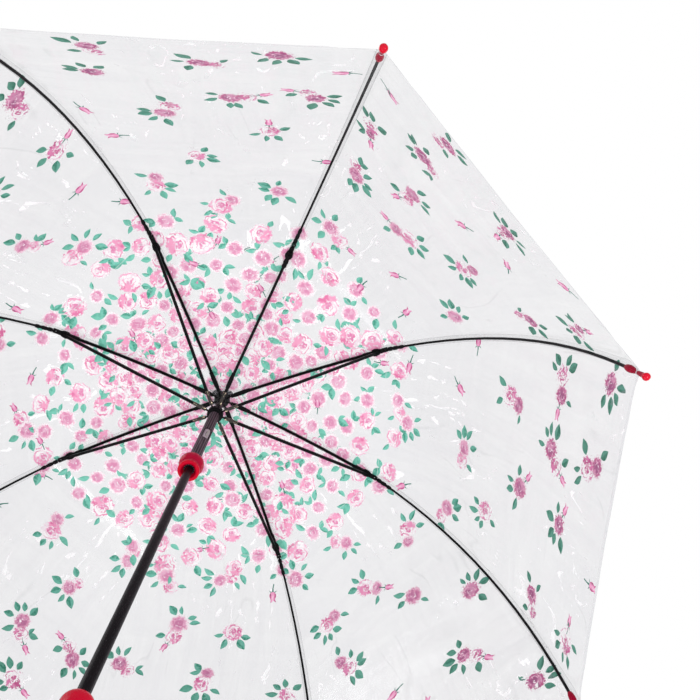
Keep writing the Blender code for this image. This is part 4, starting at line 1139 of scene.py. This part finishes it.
def build_handle():
    """Crook handle: one thick bent rod, domed at both ends, with a lip round the shaft's seat."""
    low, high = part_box("handle")
    grip = high.y
    bend = (high.x - grip) / 2
    floor = bend + grip
    top, tail = 134 * MM, floor + 16 * MM
    seat = 4.75 * MM

    def dome(degrees):
        """Drop from the dome's top and radius there."""
        return grip * (1 - math.cos(math.radians(degrees))), grip * math.sin(math.radians(degrees))

    line = [(0, top - 4.4 * MM, 0, seat), (0, top - 1.3 * MM, 0, seat)]      # x, z, turn and radius
    for drop, radius in map(dome, (25, 28, 34, 42, 50, 60, 70, 80, 90)):
        line.append((0, top - drop, 0, radius))
    for u in np.linspace(0.15, 1, 8):
        line.append((0, (top - grip) + (floor - top + grip) * u, 0, grip))
    for turn in (math.pi * i / 40 for i in range(1, 41)):
        line.append((bend * (1 - math.cos(turn)), floor - bend * math.sin(turn), turn, grip))
    for drop, radius in map(dome, range(90, -1, -10)):
        line.append((2 * bend, tail - drop, math.pi, radius))
    rings = [circle(Vector((x, 0, z)), radius, Vector((math.cos(turn), 0, math.sin(turn))), ACROSS, 48)
             for x, z, turn, radius in line]
    piece("crook_handle", skin("crook_handle", rings, closed_ends=False), "shaft", RED, slot="red_plastic",
          replaces=["handle"])


def build_crimps():
    """Brassy sleeves folded round the stretchers' inner ends, pinched twice."""
    foot = PIVOTS["runner_pin"]
    ahead = (PIVOTS["stretcher_1_fold"] - foot).normalized()
    full, pinched = (2.30, 2.0), (2.0, 1.75)
    crimp = pressed("crimp", foot, ahead, (
        (5.0, 1.95, 1.70), (5.2, 2.25, 1.95), (8.6, *full), (9.4, *pinched), (10.2, *pinched), (11.0, *full),
        (17.2, *full), (18.0, *pinched), (18.8, *pinched), (19.6, *full), (23.6, 2.25, 1.95),
        (23.9, 1.95, 1.70)), 0.5, 20)
    ways = {"along": ahead, "side": ACROSS, "over": ahead.cross(ACROSS)}
    carry(crimp, **{label: [way.dot(v.co - foot) for v in crimp.vertices] for label, way in ways.items()})
    on_each_rib("crimp", crimp, "stretcher", BRASS, slot="black_steel")


def middle_of(points):
    """The points' mean."""
    return sum(points, Vector()) / len(points)


def clip_ends():
    """Middles of the elbow clip's back and front faces on rib 1, read off its solid."""
    spots = [v.co for v in NODES["rib_inner_1"].data.vertices]
    wide = max(p.y for p in spots if p.x > 0.5 * PIVOTS["rod_1_flex"].x)
    spots = [Vector((p.x, 0, p.z)) for p in spots if p.y > wide - 0.05 * MM]
    middle = (min(p.x for p in spots) + max(p.x for p in spots)) / 2
    return middle_of([p for p in spots if p.x < middle]), middle_of([p for p in spots if p.x > middle])


def ear(pin, start, side):
    """One cheek of the fork that holds the rod's pin: a flat plate with a round end."""
    ahead = (pin - start).normalized()
    up = Vector((-ahead.z, 0, ahead.x))
    outline = [start + up * 2.3 * MM] + [pin + (up * math.cos(a) + ahead * math.sin(a)) * 2.3 * MM
                                         for a in np.linspace(0, math.pi, 13)] + [start - up * 2.3 * MM]
    middle = (start + pin) / 2
    return skin("ear", [[middle + (p - middle) * share + ACROSS * (side * y * MM) for p in outline]
                        for y, share in ((2.02, 0.88), (2.0, 1.0), (2.7, 1.0), (2.85, 0.88))])


def way_along(node, pin, near, far, off_middle=0.0):
    """Direction in which a rib or rod leaves its pin, from its points between two distances in mm."""
    spots = [v.co for v in NODES[node].data.vertices
             if near * MM < v.co.x < far * MM and abs(v.co.y) >= off_middle * MM]
    return (middle_of(spots) - pin).normalized()


def build_clips():
    """Elbow clips with a broad shoulder, two crimped bands and a fork; sleeves at each rib's and rod's root."""
    back, front = clip_ends()
    ahead = (front - back).normalized()
    rod_pin, crown_pin = PIVOTS["rod_1_flex"], PIVOTS["rib_1_fold"]
    clip = pressed("clip", back, ahead, (
        (-0.5, 2.65, 2.52), (-0.3, 3.1, 2.58), (3.2, 3.15, 2.65), (3.7, 2.75, 2.56), (4.7, 2.75, 2.56),
        (5.2, 3.15, 2.65), (9.8, 3.15, 2.65), (10.4, 2.72, 2.56), (12.0, 2.72, 2.56), (13.0, 3.6, 2.65),
        (14.6, 4.8, 2.75), (20.0, 4.9, 2.75), (22.6, 4.2, 2.65), (24.0, 3.2, 2.58), (28.4, 3.1, 2.56),
        (29.1, 2.62, 2.52), (29.2, 1.9, 2.0), (31.2, 1.9, 1.9)), lid=2.75)
    clip = joined("clip", [clip] + [ear(rod_pin, front - ahead * (0.8 * MM), side) for side in (-1, 1)])
    reach = rod_pin.x / MM
    rod_root = pressed("rod_root", rod_pin, way_along("rib_outer_1", rod_pin, reach + 20, reach + 40), (
        (3.3, 1.75, 1.75), (3.6, 2.6, 2.2), (8.0, 2.8, 2.3), (9.0, 2.1, 2.0), (11.0, 2.1, 2.0),
        (12.0, 2.6, 2.3), (17.0, 2.5, 2.2), (18.0, 1.95, 1.9), (21.0, 1.95, 1.9), (22.0, 2.5, 2.2),
        (25.5, 2.4, 2.15), (27.0, 1.75, 1.75)), 0.6)
    rib_root = pressed("rib_root", crown_pin, way_along("rib_inner_1", crown_pin, 30, 60, 2.1), (
        (9.4, 2.3, 2.15), (9.6, 2.8, 2.3), (12.0, 3.1, 2.4), (26.0, 3.1, 2.4), (29.0, 2.7, 2.3),
        (33.0, 2.6, 2.25), (34.0, 2.25, 2.15)), 0.5)
    for name, mesh, body in (("elbow_clip", clip, "rib"), ("rod_root", rod_root, "rod"),
                             ("rib_root", rib_root, "rib")):
        on_each_rib(name, mesh, body, RIB_BLACK, slot="black_steel")


def rivet_tree():
    """Geometry Nodes: sets a rivet head on each point, facing the way that the point says."""
    given, add, carried, close = geometry_tree("set_rivets", ("Head", "Object"), ("Metal", "Material"))
    head = add("GeometryNodeObjectInfo", {"transform_space": "ORIGINAL"}, Object=given["Head"],
               As_Instance=True).node.outputs["Geometry"]
    facing = add("FunctionNodeAlignRotationToVector", {"axis": "Z"}, Vector=carried("facing", "FLOAT_VECTOR"))
    put = add("GeometryNodeInstanceOnPoints", None, Points=given["Geometry"], Instance=head, Rotation=facing,
              Scale=carried("size", "FLOAT_VECTOR"))
    real = add("GeometryNodeRealizeInstances", None, Geometry=put)
    return close(add("GeometryNodeSetMaterial", None, Geometry=real, Material=given["Metal"]))


def build_rivets():
    """Domed heads of the pins at each elbow and on each clip."""
    outline = in_metres((-0.25, 0.0), (-0.25, 0.95), (0.0, 1.15), (0.22, 1.12), (0.42, 0.95), (0.56, 0.62),
                        (0.62, 0.3), (0.64, 0.0))
    head = shown("rivet_head", lathe("rivet_head", outline, Vector(), Vector((0, 0, 1)), 16))
    tree = rivet_tree()
    back, front = clip_ends()
    below = Vector((front.z - back.z, 0, back.x - front.x)).normalized() * (1.35 * MM)
    sets = {"stretcher": [(PIVOTS["stretcher_1_fold"], 1.9, 0.8)],
            "rib": [(PIVOTS["rod_1_flex"], 2.85, 0.8), (back.lerp(front, 0.60) + below, 4.85, 0.9),
                    (back.lerp(front, 0.25) + below, 3.1, 0.8)]}
    for body, pins in sets.items():
        ends = [(tuple(spot + ACROSS * (side * half * MM)), (0.0, side, 0.0), (size,) * 3)
                for spot, half, size in pins for side in (-1, 1)]
        spots, facing, sizes = zip(*ends)
        points = point_mesh(body + "_pins", spots, facing=facing, size=sizes)
        on_each_rib(body + "_rivets", baked(points, tree, Head=head, Metal=RIVET_BLACK), body)
    bpy.data.objects.remove(head)


build_caps()
build_collar()
build_handle()
build_crimps()
build_clips()
build_rivets()

# ---- CAD nodes that keep their shape ----
FINISHES = ((RIB_BLACK, "rib_inner rib_outer stretcher"), (RED, "tip_cap handle runner_collar"),
            (PLUM, "runner"), (TUBE, "shaft_tube"), (BLACK_PLASTIC, "crown_notch canopy_cap ferrule"),
            (STEEL, "crown_wire runner_wire top_stop top_catch bottom_catch"))
for node in NODES:
    for finish, names in FINISHES:
        if node.rstrip("0123456789").rstrip("_") in names.split():
            repaint(node, finish)


# ---- Stage, light and camera ----
def paper_finish():
    """Floor: pale paper with a faint tooth, fading to plain white away from the umbrella."""
    f = Finish("studio_paper", roughness=0.8, specular_ior_level=0.2, emission_strength=1.0)
    place = f.place()
    x, y, _ = place.parts()
    away = distance(x, y).above(1.9, 1.8)
    paper = f.mix(place.noise(6, 4), (0.86, 0.86, 0.86), (0.90, 0.90, 0.90))
    return f.paint(base_color=f.mix(away, paper, (0, 0, 0)),
                   emission_color=f.mix(away, (0.21, 0.21, 0.21), (1, 1, 1)),
                   normal=f.bump(place.noise(300, 3), 0.1 * MM, 0.3))


def build_stage():
    half, level = 6.0, -0.46
    corners = [(x * half, y * half, level) for x, y in ((-1, -1), (1, -1), (1, 1), (-1, 1))]
    floor = shown("floor", mesh_of("floor", corners, [(0, 1, 2, 3)], smooth=False))
    floor.data.materials.append(paper_finish())


def build_world():
    """White to the eye and through clear film, softer as a light."""
    world = bpy.data.worlds.new("studio")
    bpy.context.scene.world = world
    world.use_nodes = True
    nodes, links = world.node_tree.nodes, world.node_tree.links
    nodes.clear()
    path, seen = nodes.new("ShaderNodeLightPath"), nodes.new("ShaderNodeMath")
    mix, out = nodes.new("ShaderNodeMixShader"), nodes.new("ShaderNodeOutputWorld")
    seen.operation = "MAXIMUM"
    for slot, (colour, strength) in enumerate((((0.97, 0.98, 1.0, 1), 0.70), ((1, 1, 1, 1), 1.0))):
        sky = nodes.new("ShaderNodeBackground")
        sky.inputs["Color"].default_value, sky.inputs["Strength"].default_value = colour, strength
        links.new(sky.outputs[0], mix.inputs[1 + slot])
    for slot, ray in enumerate(("Is Camera Ray", "Is Transmission Ray")):
        links.new(path.outputs[ray], seen.inputs[slot])
    links.new(seen.outputs[0], mix.inputs[0])
    links.new(mix.outputs[0], out.inputs[0])


def soft_lamp(name, place, size, power):
    """A square lamp that faces the dome's heart."""
    lamp = bpy.data.lights.new(name, "AREA")
    lamp.shape, lamp.size, lamp.energy = "SQUARE", size, power
    obj = shown(name, lamp)
    obj.location = place
    obj.rotation_euler = (Vector((0, 0, 0.55)) - Vector(place)).to_track_quat("-Z", "Y").to_euler()


def build_camera():
    """Under the dome, beside rib 2, looking up past the handle at the crown."""
    lens = bpy.data.cameras.new("camera")
    lens.sensor_width = 36.0
    lens.lens = 40.58
    lens.shift_x, lens.shift_y = 0.0574, 0.0965
    lens.clip_start = 0.02
    camera = shown("camera", lens)
    camera.location = (0.23372, 0.23708, -0.27315)
    camera.rotation_euler = tuple(math.radians(a) for a in (163.3427, -1.0718, 109.3932))
    bpy.context.scene.camera = camera


build_stage()
build_world()
soft_lamp("key_lamp", (1.6, -1.5, 1.9), 1.3, 29)
soft_lamp("back_lamp", (-1.8, 1.3, 1.7), 1.5, 21)
soft_lamp("low_lamp", (-0.9, -1.1, -0.30), 0.8, 11)
soft_lamp("camera_lamp", (-0.02, 0.62, -0.40), 0.30, 3.2)
build_camera()
bpy.context.scene.view_settings.view_transform = "Standard"
